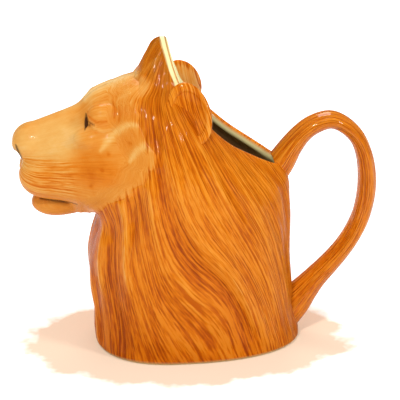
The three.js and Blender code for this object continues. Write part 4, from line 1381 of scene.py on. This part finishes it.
def build_ears(settings, paints):
    """Each ear is a cup: rings run from the middle of its hollow out over a rolled edge
    and down its back to the middle of its root."""
    turn = np.linspace(0, 2 * np.pi, EAR_COLUMNS, endpoint=False)[None]
    v = np.linspace(EAR_FIRST_ROW, 1 - EAR_FIRST_ROW, EAR_ROWS)[:, None]
    free = 0.5 + 0.5 * np.sin(turn - EAR_FREE_TURN)
    half = lerp(EAR_ROOT_WIDTH, settings.width / MM - EAR_ROOT_WIDTH, free)
    lifted = free ** EAR_FREE_POWER
    reach, height = ear_profile(v, lerp(EAR_ROOT_HEIGHT, settings.lift / MM, lifted))
    lengthwise = reach * np.cos(turn) * (settings.length / MM / 2)
    widthwise = reach * np.sin(turn) * half
    strand = np.stack([0 * height, widthwise, lengthwise], -1)
    hair = locks(strand, *EAR_HAIR)
    edge = smooth_step(0.36, 0.46, v) * smooth_step(0.68, 0.6, v) * lifted
    back = smooth_step(0.62, 0.7, v) + 0 * turn
    for side, name in ((-1, "left_ear"), (1, "right_ear")):
        flip = np.array([1, side, 1])
        middle, along, across = EAR_MIDDLE * flip, EAR_LONG * flip, EAR_WIDE * flip
        out = np.cross(along, across)
        out = out * np.sign(out[1] * side)
        rows = middle + lengthwise[..., None] * along + widthwise[..., None] * across
        rows = raised(rows + height[..., None] * out, middle, EAR_HAIR_HEIGHT * hair)
        marks = blank_marks(rows)
        marks["strand"][:] = strand
        # The ear's back takes the face's paint, and its rolled edge a little of that paler paint as a
        # painted highlight
        marks["paint"][..., 0] = np.clip(0.2 * edge + 0.9 * back, 0, 1)
        marks["form"][..., 0] = hair
        # Painted shade: deeper paint in the ear's hollow. Painted highlight: paler paint on its rolled
        # edge
        marks["form"][..., 1] = 0.1 * smooth_step(0.42, 0.2, v) - 0.06 * edge
        marks["form"][..., 2] = 0.1
        marks["tone"][..., 0] = 0.42 + 0.12 * back
        piece = make_piece(name + "_cup", rows, marks)
        glaze = painted_glaze(name + "_glaze", paints, EAR_BRUSH)
        finish_piece(piece, glaze, (name,))


# Handle's middle line from the back wall, in shares of its reach and height, with its
# thickness and width in shares of the plain section
HANDLE_SHARES = [
    (-0.26, 0.74, 1.5, 1.15), (-0.125, 0.805, 1.42, 1.1), (-0.055, 0.844, 1.3, 1.05),
    (0.02, 0.886, 1.15, 1), (0.15, 0.942, 1, 0.95), (0.295, 0.979, 0.97, 0.93),
    (0.5, 1, 0.93, 0.93), (0.685, 0.974, 0.87, 0.93), (0.845, 0.92, 0.84, 0.95),
    (0.938, 0.852, 0.87, 0.97), (0.985, 0.781, 0.93, 1), (1, 0.704, 0.98, 1),
    (0.985, 0.632, 1, 1), (0.936, 0.553, 1, 1), (0.862, 0.486, 0.97, 1),
    (0.762, 0.423, 0.95, 1), (0.646, 0.367, 0.97, 1), (0.5, 0.307, 1.05, 1.02),
    (0.37, 0.257, 1.17, 1.05), (0.244, 0.204, 1.4, 1.14), (0.115, 0.15, 1.72, 1.3),
    (-0.03, 0.092, 1.85, 1.5),
]
HANDLE_BACK = 47.0
HANDLE_REACH = 91.3
HANDLE_HEIGHT = 117.6
HANDLE_THICKNESS = 9.6
HANDLE_WIDTH = 15.0
ROOT_COVER = 1.4
ROOT_STEPS = 8
HANDLE_ROWS = 420
HANDLE_COLUMNS = 96
HANDLE_WINDOW = 21
HANDLE_FOOT_Z = 0.6
HANDLE_STRAND_RADIUS = 7.5
HANDLE_HAIR = (3.0, 45.0, 21)
HANDLE_HAIR_HEIGHT = 0.32
HANDLE_LOCKS = (7.0, 70.0, 23)
HANDLE_LOCK_HEIGHT = 0.5
HANDLE_DEPTH = 0.03
HANDLE_BRUSH = 1.0
HANDLE_COAT = 0.4


def smoothed(values):
    """A run of values, each replaced by a weighted mean of those about it. Beyond its ends
    the run is turned over about its end values."""
    window = np.hanning(HANDLE_WINDOW) / np.hanning(HANDLE_WINDOW).sum()
    padded = np.pad(values, HANDLE_WINDOW // 2, "reflect", reflect_type="odd")
    return np.convolve(padded, window, "valid")


def held_in_wall(rows):
    """Both roots end inside the wall. What would stand in the hollow is moved back in steps,
    each by how much the hollow's field is short of the cover, and no further than that
    cover inside the back wall."""
    deepest = HANDLE_BACK - ROOT_COVER
    for _ in range(ROOT_STEPS):
        short = np.clip(ROOT_COVER - hollow_field(rows), 0, deepest - rows[..., 0])
        rows[..., 0] = rows[..., 0] + np.where(rows[..., 0] < deepest, short, 0)
    return rows


def build_handle(settings, paints):
    """An oval section carried along a smooth line, thicker at its two roots."""
    table = np.array(HANDLE_SHARES, dtype=float)
    thickness = settings.thickness / MM
    reach = settings.reach / MM - thickness / 2 - HANDLE_BACK
    top = settings.height / MM - thickness / 2
    spots = np.arange(len(table), dtype=float)
    at = np.linspace(0, len(table) - 1, HANDLE_ROWS)
    away, up, thicker, wider = (
        line_through(list(zip(spots, column)))(at) for column in table.T
    )
    x, z = smoothed(HANDLE_BACK + away * reach), smoothed(up * top)
    thick = smoothed(thicker) * thickness / 2
    wide = smoothed(wider) * settings.width / MM / 2
    middle = np.stack([x, 0 * x, z], -1)
    tangent = unit(np.gradient(middle, axis=0))
    out = np.stack([-tangent[:, 2], 0 * x, tangent[:, 0]], -1)
    turn = np.linspace(0, 2 * np.pi, HANDLE_COLUMNS, endpoint=False)
    travelled = np.concatenate([[0], np.cumsum(length(np.diff(middle, axis=0)))])
    ring_x, ring_y = np.cos(turn), np.sin(turn)
    rows = middle[:, None] + (thick[:, None] * ring_x)[..., None] * out[:, None]
    rows = rows + (wide[:, None] * ring_y)[..., None] * np.array([0.0, 1.0, 0.0])
    strand = np.stack([
        HANDLE_STRAND_RADIUS * ring_x + 0 * at[:, None],
        HANDLE_STRAND_RADIUS * ring_y + 0 * at[:, None], travelled[:, None] + 0 * turn,
    ], -1)
    hair = locks(strand, *HANDLE_HAIR)
    broad = locks(strand, *HANDLE_LOCKS)
    relief = HANDLE_HAIR_HEIGHT * hair + HANDLE_LOCK_HEIGHT * broad
    rows = raised(rows, middle[:, None], relief)
    rows[..., 2] = np.maximum(rows[..., 2], HANDLE_FOOT_Z)
    rows = held_in_wall(rows)
    marks = blank_marks(rows)
    marks["strand"][:] = strand
    marks["form"][..., 0] = hair
    marks["form"][..., 1] = HANDLE_DEPTH
    piece = make_piece("handle_skin", rows, marks)
    glaze = painted_glaze("handle_fur_glaze", paints, HANDLE_BRUSH, HANDLE_COAT)
    finish_piece(piece, glaze, ("handle",))


# Stage: floor, light and camera

CAMERA_TURN = -5.0
CAMERA_LIFT = 20.0
CAMERA_TARGET = np.array([2.2, 0.0, 72.5])
SENSOR_WIDTH = 36.0
WHITE = (1.0, 1.0, 1.0)
# How brightly the camera sees the floor glow, and the share of it by which the colour of
# the painted shadow about the jug glows
FLOOR_GLOW = 0.53
SHADOW_GLOW = 0.415
# Painted shadow on the floor about the jug, warm with painted reflected colour: its middle in metres,
# its stretch, the span over which it eases out, how ragged its edge is, and the scale, detail and
# roughness of the noise on its edge
SHADOW_MIDDLE = (-0.0045, -0.006, 0.0)
SHADOW_STRETCH = (11.9, 18.2, 1.0)
SHADOW_SPAN = (1.32, 1.18)
SHADOW_RAGGEDNESS = 0.5
SHADOW_EDGE_NOISE = (45.0, 3.0, 0.6)
# Brightness of the white surroundings for light on the jug, and how much more the camera
# sees and less the glaze reflects of them
STUDIO_LIGHT = 0.58
STUDIO_CHANGE = 0.42
LAMP_AIM = np.array([0, 0, 0.08])
# Lamps: place and size in metres, the setting that holds the power, and the colour
LAMPS = (
    ("key_light", (-0.3, -0.75, 0.95), 0.12, "key_power", (1.0, 0.97, 0.92)),
    ("side_light", (0.7, -0.65, 0.75), 0.16, "side_power", (1.0, 0.98, 0.94)),
    ("back_light", (0.05, 0.75, 1.1), 0.5, "back_power", WHITE),
)


def add_camera(settings):
    """The camera stands back from its target by its distance, at its turn and lift."""
    scene = bpy.context.scene
    turn, lift = np.radians(CAMERA_TURN), np.radians(CAMERA_LIFT)
    back = np.array([np.sin(turn) * np.cos(lift), -np.cos(turn) * np.cos(lift), np.sin(lift)])
    camera = bpy.data.objects.new("camera", bpy.data.cameras.new("camera"))
    camera.data.lens = settings.lens
    camera.data.sensor_width = SENSOR_WIDTH
    camera.location = tuple(CAMERA_TARGET * MM + back * settings.distance)
    camera.rotation_euler = (np.pi / 2 - lift, 0, turn)
    scene.collection.objects.link(camera)
    scene.camera = camera
    scene.view_settings.view_transform = "Standard"


def floor_glaze(settings):
    """White floor with an oval patch of painted shadow and warm reflected colour about the
    jug, whose edge noise makes ragged. Both glow for the camera alone."""
    g = Glaze("floor_cloth")
    coords = g.node("ShaderNodeTexCoord", {}, {}, "Object")
    moved = g.node("ShaderNodeVectorMath", {"operation": "SUBTRACT"}, {0: coords, 1: SHADOW_MIDDLE})
    oval = g.stretched(moved, SHADOW_STRETCH)
    away = g.node("ShaderNodeVectorMath", {"operation": "LENGTH"}, {0: oval}, 1)
    edge_noise = g.noise(coords, *SHADOW_EDGE_NOISE)
    shadow_share = g.span(away + edge_noise * SHADOW_RAGGEDNESS, *SHADOW_SPAN)
    tint = g.mix(shadow_share, WHITE, tuple(settings.floor_shadow_color))
    diffuse = g.node("ShaderNodeBsdfDiffuse", {}, {"Color": tint, "Roughness": 1.0})
    seen = g.node("ShaderNodeLightPath", {}, {}, "Is Camera Ray")
    fill = g.mix(shadow_share, WHITE, tuple(v * SHADOW_GLOW for v in settings.floor_shadow_color))
    glow = g.node("ShaderNodeEmission", {}, {"Color": fill, "Strength": seen * FLOOR_GLOW})
    lit = g.node("ShaderNodeAddShader", {}, {0: diffuse, 1: glow})
    g.node("ShaderNodeOutputMaterial", {}, {0: lit})
    return g.material


def add_studio():
    """White surroundings, brighter for the camera and darker in reflections."""
    world = bpy.data.worlds.new("studio")
    bpy.context.scene.world = world
    tree = Tree(world)
    seen = tree.node("ShaderNodeLightPath", {}, {}, "Is Camera Ray")
    gloss = tree.node("ShaderNodeLightPath", {}, {}, "Is Glossy Ray")
    strength = STUDIO_LIGHT + seen * STUDIO_CHANGE - gloss * STUDIO_CHANGE
    glow = tree.node("ShaderNodeBackground", {}, {"Color": (*WHITE, 1), "Strength": strength})
    tree.node("ShaderNodeOutputWorld", {}, {0: glow})


def add_lamps(settings):
    """Square lamps, each turned by two angles to face the point that all aim at."""
    for name, place, size, power, color in LAMPS:
        lamp = bpy.data.lights.new(name, "AREA")
        lamp.size = size
        lamp.energy = getattr(settings, power)
        lamp.color = color
        holder = bpy.data.objects.new(name, lamp)
        holder.location = place
        aim = LAMP_AIM - np.array(place)
        tilt = np.arctan2(np.hypot(aim[0], aim[1]), -aim[2])
        holder.rotation_euler = (tilt, 0, np.arctan2(-aim[0], aim[1]))
        bpy.context.scene.collection.objects.link(holder)


def build_stage(settings):
    """The camera, the floor, the white surroundings and the lamps."""
    add_camera(settings)
    material = floor_glaze(settings)
    bpy.ops.mesh.primitive_plane_add(size=settings.floor_size, location=(0, 0, 0))
    floor = bpy.context.object
    floor.name = "floor"
    floor.data.materials.append(material)
    add_studio()
    add_lamps(settings)


# Settings that a user would change

def size_of(name, description, default):
    """A length, given in millimetres and kept in metres."""
    return bpy.props.FloatProperty(
        name=name, description=description, default=default * MM, min=0.0, unit="LENGTH",
        precision=4,
    )


def color_of(name, description, *default):
    """A colour, given as a screen shows it and kept as a shader's linear values."""
    return bpy.props.FloatVectorProperty(
        name=name, description=description, default=linear(*default), min=0.0, max=1.0,
        subtype="COLOR",
    )


def factor_of(name, description, default):
    """A share, which may go up to twice the jug's own."""
    return bpy.props.FloatProperty(
        name=name, description=description, default=default, min=0.0, max=2.0,
        subtype="FACTOR",
    )


def power_of(name, description, default):
    """A lamp's power in watts."""
    return bpy.props.FloatProperty(
        name=name, description=description, default=default, min=0.0, unit="POWER",
    )


class PaintSettings(bpy.types.PropertyGroup):
    """The paints of the fur and the face, the glaze where it is left bare, and the painted shade deep
    inside the jug.
    """
    mane_deepest: color_of("Mane Deepest", "Paint in the deepest strokes of the mane", 160, 66, 0)
    mane_deep: color_of("Mane Deep", "Paint in the valleys of the mane", 198, 94, 2)
    mane_middle: color_of("Mane Middle", "The mane's ochre", 226, 124, 12)
    mane_light: color_of("Mane Light", "Paint on the ridges of the mane", 240, 150, 42)
    mane_palest: color_of("Mane Palest", "Paint where the mane is palest", 247, 184, 100)
    face_palest: color_of("Face Palest", "Paint where the face is palest", 246, 206, 142)
    face_light: color_of("Face Light", "Paint of the nose's bridge", 237, 180, 98)
    face_middle: color_of("Face Middle", "Paint of the forehead and the pads", 230, 152, 62)
    face_deep: color_of("Face Deep", "Paint of the cheeks", 222, 127, 32)
    face_deepest: color_of("Face Deepest", "Deepest paint of the face", 206, 105, 16)
    line: color_of("Line", "Dark paint of mouth, nostrils and lashes", 70, 40, 18)
    rim: color_of("Rim", "Bare glaze on the pouring lip", 255, 250, 184)
    # Painted shade: the colour to which bare glaze darkens deep inside the jug
    inside: color_of("Inside", "Bare glaze deep inside the jug", 158, 118, 70)


class BodySettings(bpy.types.PropertyGroup):
    """The body's relief."""
    relief: factor_of("Relief", "Height of the mane's locks, as a share of the jug's own", 1.0)


class FaceSettings(bpy.types.PropertyGroup):
    """The face's relief."""
    relief: factor_of("Relief", "Height of the face's hair, as a share of the jug's own", 1.0)


class EyeSettings(bpy.types.PropertyGroup):
    """Size and colour of the eyes."""
    length: size_of("Length", "Length of an eye from front to back", EYE_LENGTH)
    height: size_of("Height", "Height of an eye", EYE_HEIGHT)
    color: color_of("Color", "Paint of the eyes", 84, 48, 22)


class EarSettings(bpy.types.PropertyGroup):
    """Size of the ears."""
    length: size_of("Length", "Length of an ear from its root to its top", EAR_LENGTH)
    width: size_of("Width", "Width of an ear over its rolled edge", EAR_WIDTH)
    lift: size_of("Lift", "Height of the free edge over the ear's plane", EAR_LIFT)


class HandleSettings(bpy.types.PropertyGroup):
    """Size of the handle."""
    reach: size_of("Reach", "Distance of its outer edge from the foot's middle", HANDLE_REACH)
    height: size_of("Height", "Height of its top over the foot", HANDLE_HEIGHT)
    thickness: size_of("Thickness", "Thickness of its plain section", HANDLE_THICKNESS)
    width: size_of("Width", "Width of its plain section", HANDLE_WIDTH)


class StageSettings(bpy.types.PropertyGroup):
    """Camera, floor and lights."""
    distance: size_of("Distance", "Distance of the camera from the jug", 800.0)
    lens: bpy.props.FloatProperty(
        name="Lens", description="Focal length of the camera", default=144.0, min=1.0,
        unit="CAMERA",
    )
    floor_size: size_of("Floor Size", "Length of the floor's side", 2400.0)
    # Colour of the painted shadow and warm reflected colour on the floor about the jug
    floor_shadow_color: color_of("Floor", "Tint of the cloth under the jug", 232, 210, 188)
    key_power: power_of("Key Light", "Power of the light from the front", 4.2)
    side_power: power_of("Side Light", "Power of the light from the handle's side", 3.0)
    back_power: power_of("Back Light", "Power of the light from behind", 6.0)


# Operators: one for each piece or pair of pieces, and one for the stage

class JUG_OT_stage(bpy.types.Operator):
    """Set up the camera, the floor and the studio lights"""
    bl_idname = "jug.stage"
    bl_label = "Stage"

    def execute(self, context):
        build_stage(context.scene.jug_stage)
        return {"FINISHED"}


class JUG_OT_body(bpy.types.Operator):
    """Build the body's glazed skin with its mane, pouring lip, rim, inside and foot"""
    bl_idname = "jug.body"
    bl_label = "Body"

    def execute(self, context):
        build_body(context.scene.jug_body, context.scene.jug_paint)
        return {"FINISHED"}


class JUG_OT_face(bpy.types.Operator):
    """Build the face with its nose, pads, lids and lower jaw"""
    bl_idname = "jug.face"
    bl_label = "Face"

    def execute(self, context):
        build_face(context.scene.jug_face, context.scene.jug_paint)
        return {"FINISHED"}


class JUG_OT_eyes(bpy.types.Operator):
    """Build the two eyes"""
    bl_idname = "jug.eyes"
    bl_label = "Eyes"

    def execute(self, context):
        build_eyes(context.scene.jug_eyes)
        return {"FINISHED"}


class JUG_OT_ears(bpy.types.Operator):
    """Build the two cupped ears"""
    bl_idname = "jug.ears"
    bl_label = "Ears"

    def execute(self, context):
        build_ears(context.scene.jug_ears, context.scene.jug_paint)
        return {"FINISHED"}


class JUG_OT_handle(bpy.types.Operator):
    """Build the looped handle"""
    bl_idname = "jug.handle"
    bl_label = "Handle"

    def execute(self, context):
        build_handle(context.scene.jug_handle, context.scene.jug_paint)
        return {"FINISHED"}


class JUG_PT_panel(bpy.types.Panel):
    """The jug's operators, each over its settings"""
    bl_label = "Lion Jug"
    bl_idname = "JUG_PT_panel"
    bl_space_type = "VIEW_3D"
    bl_region_type = "UI"
    bl_category = "Lion Jug"

    def draw(self, context):
        scene = context.scene
        rows = (
            ("jug.stage", scene.jug_stage), ("jug.body", scene.jug_body),
            ("jug.face", scene.jug_face), ("jug.eyes", scene.jug_eyes),
            ("jug.ears", scene.jug_ears), ("jug.handle", scene.jug_handle),
            (None, scene.jug_paint),
        )
        for operator, settings in rows:
            box = self.layout.box()
            if operator:
                box.operator(operator)
            for name in settings.__annotations__:
                box.prop(settings, name)


GROUPS = {
    "jug_paint": PaintSettings,
    "jug_stage": StageSettings,
    "jug_body": BodySettings,
    "jug_face": FaceSettings,
    "jug_eyes": EyeSettings,
    "jug_ears": EarSettings,
    "jug_handle": HandleSettings,
}
OPERATORS = (JUG_OT_stage, JUG_OT_body, JUG_OT_face, JUG_OT_eyes, JUG_OT_ears, JUG_OT_handle)


def register():
    """Makes the settings, the operators and the panel known, and puts the settings on the
    scene."""
    for kind in (*GROUPS.values(), *OPERATORS, JUG_PT_panel):
        bpy.utils.register_class(kind)
    for name, group in GROUPS.items():
        setattr(bpy.types.Scene, name, bpy.props.PointerProperty(type=group))


def unregister():
    """Takes back what register has done, in reverse."""
    for name in GROUPS:
        delattr(bpy.types.Scene, name)
    for kind in reversed((*GROUPS.values(), *OPERATORS, JUG_PT_panel)):
        bpy.utils.unregister_class(kind)


def main():
    """Builds the stage and every piece."""
    register()
    bpy.ops.jug.stage()
    bpy.ops.jug.body()
    bpy.ops.jug.face()
    bpy.ops.jug.eyes()
    bpy.ops.jug.ears()
    bpy.ops.jug.handle()


if __name__ == "__main__":
    main()
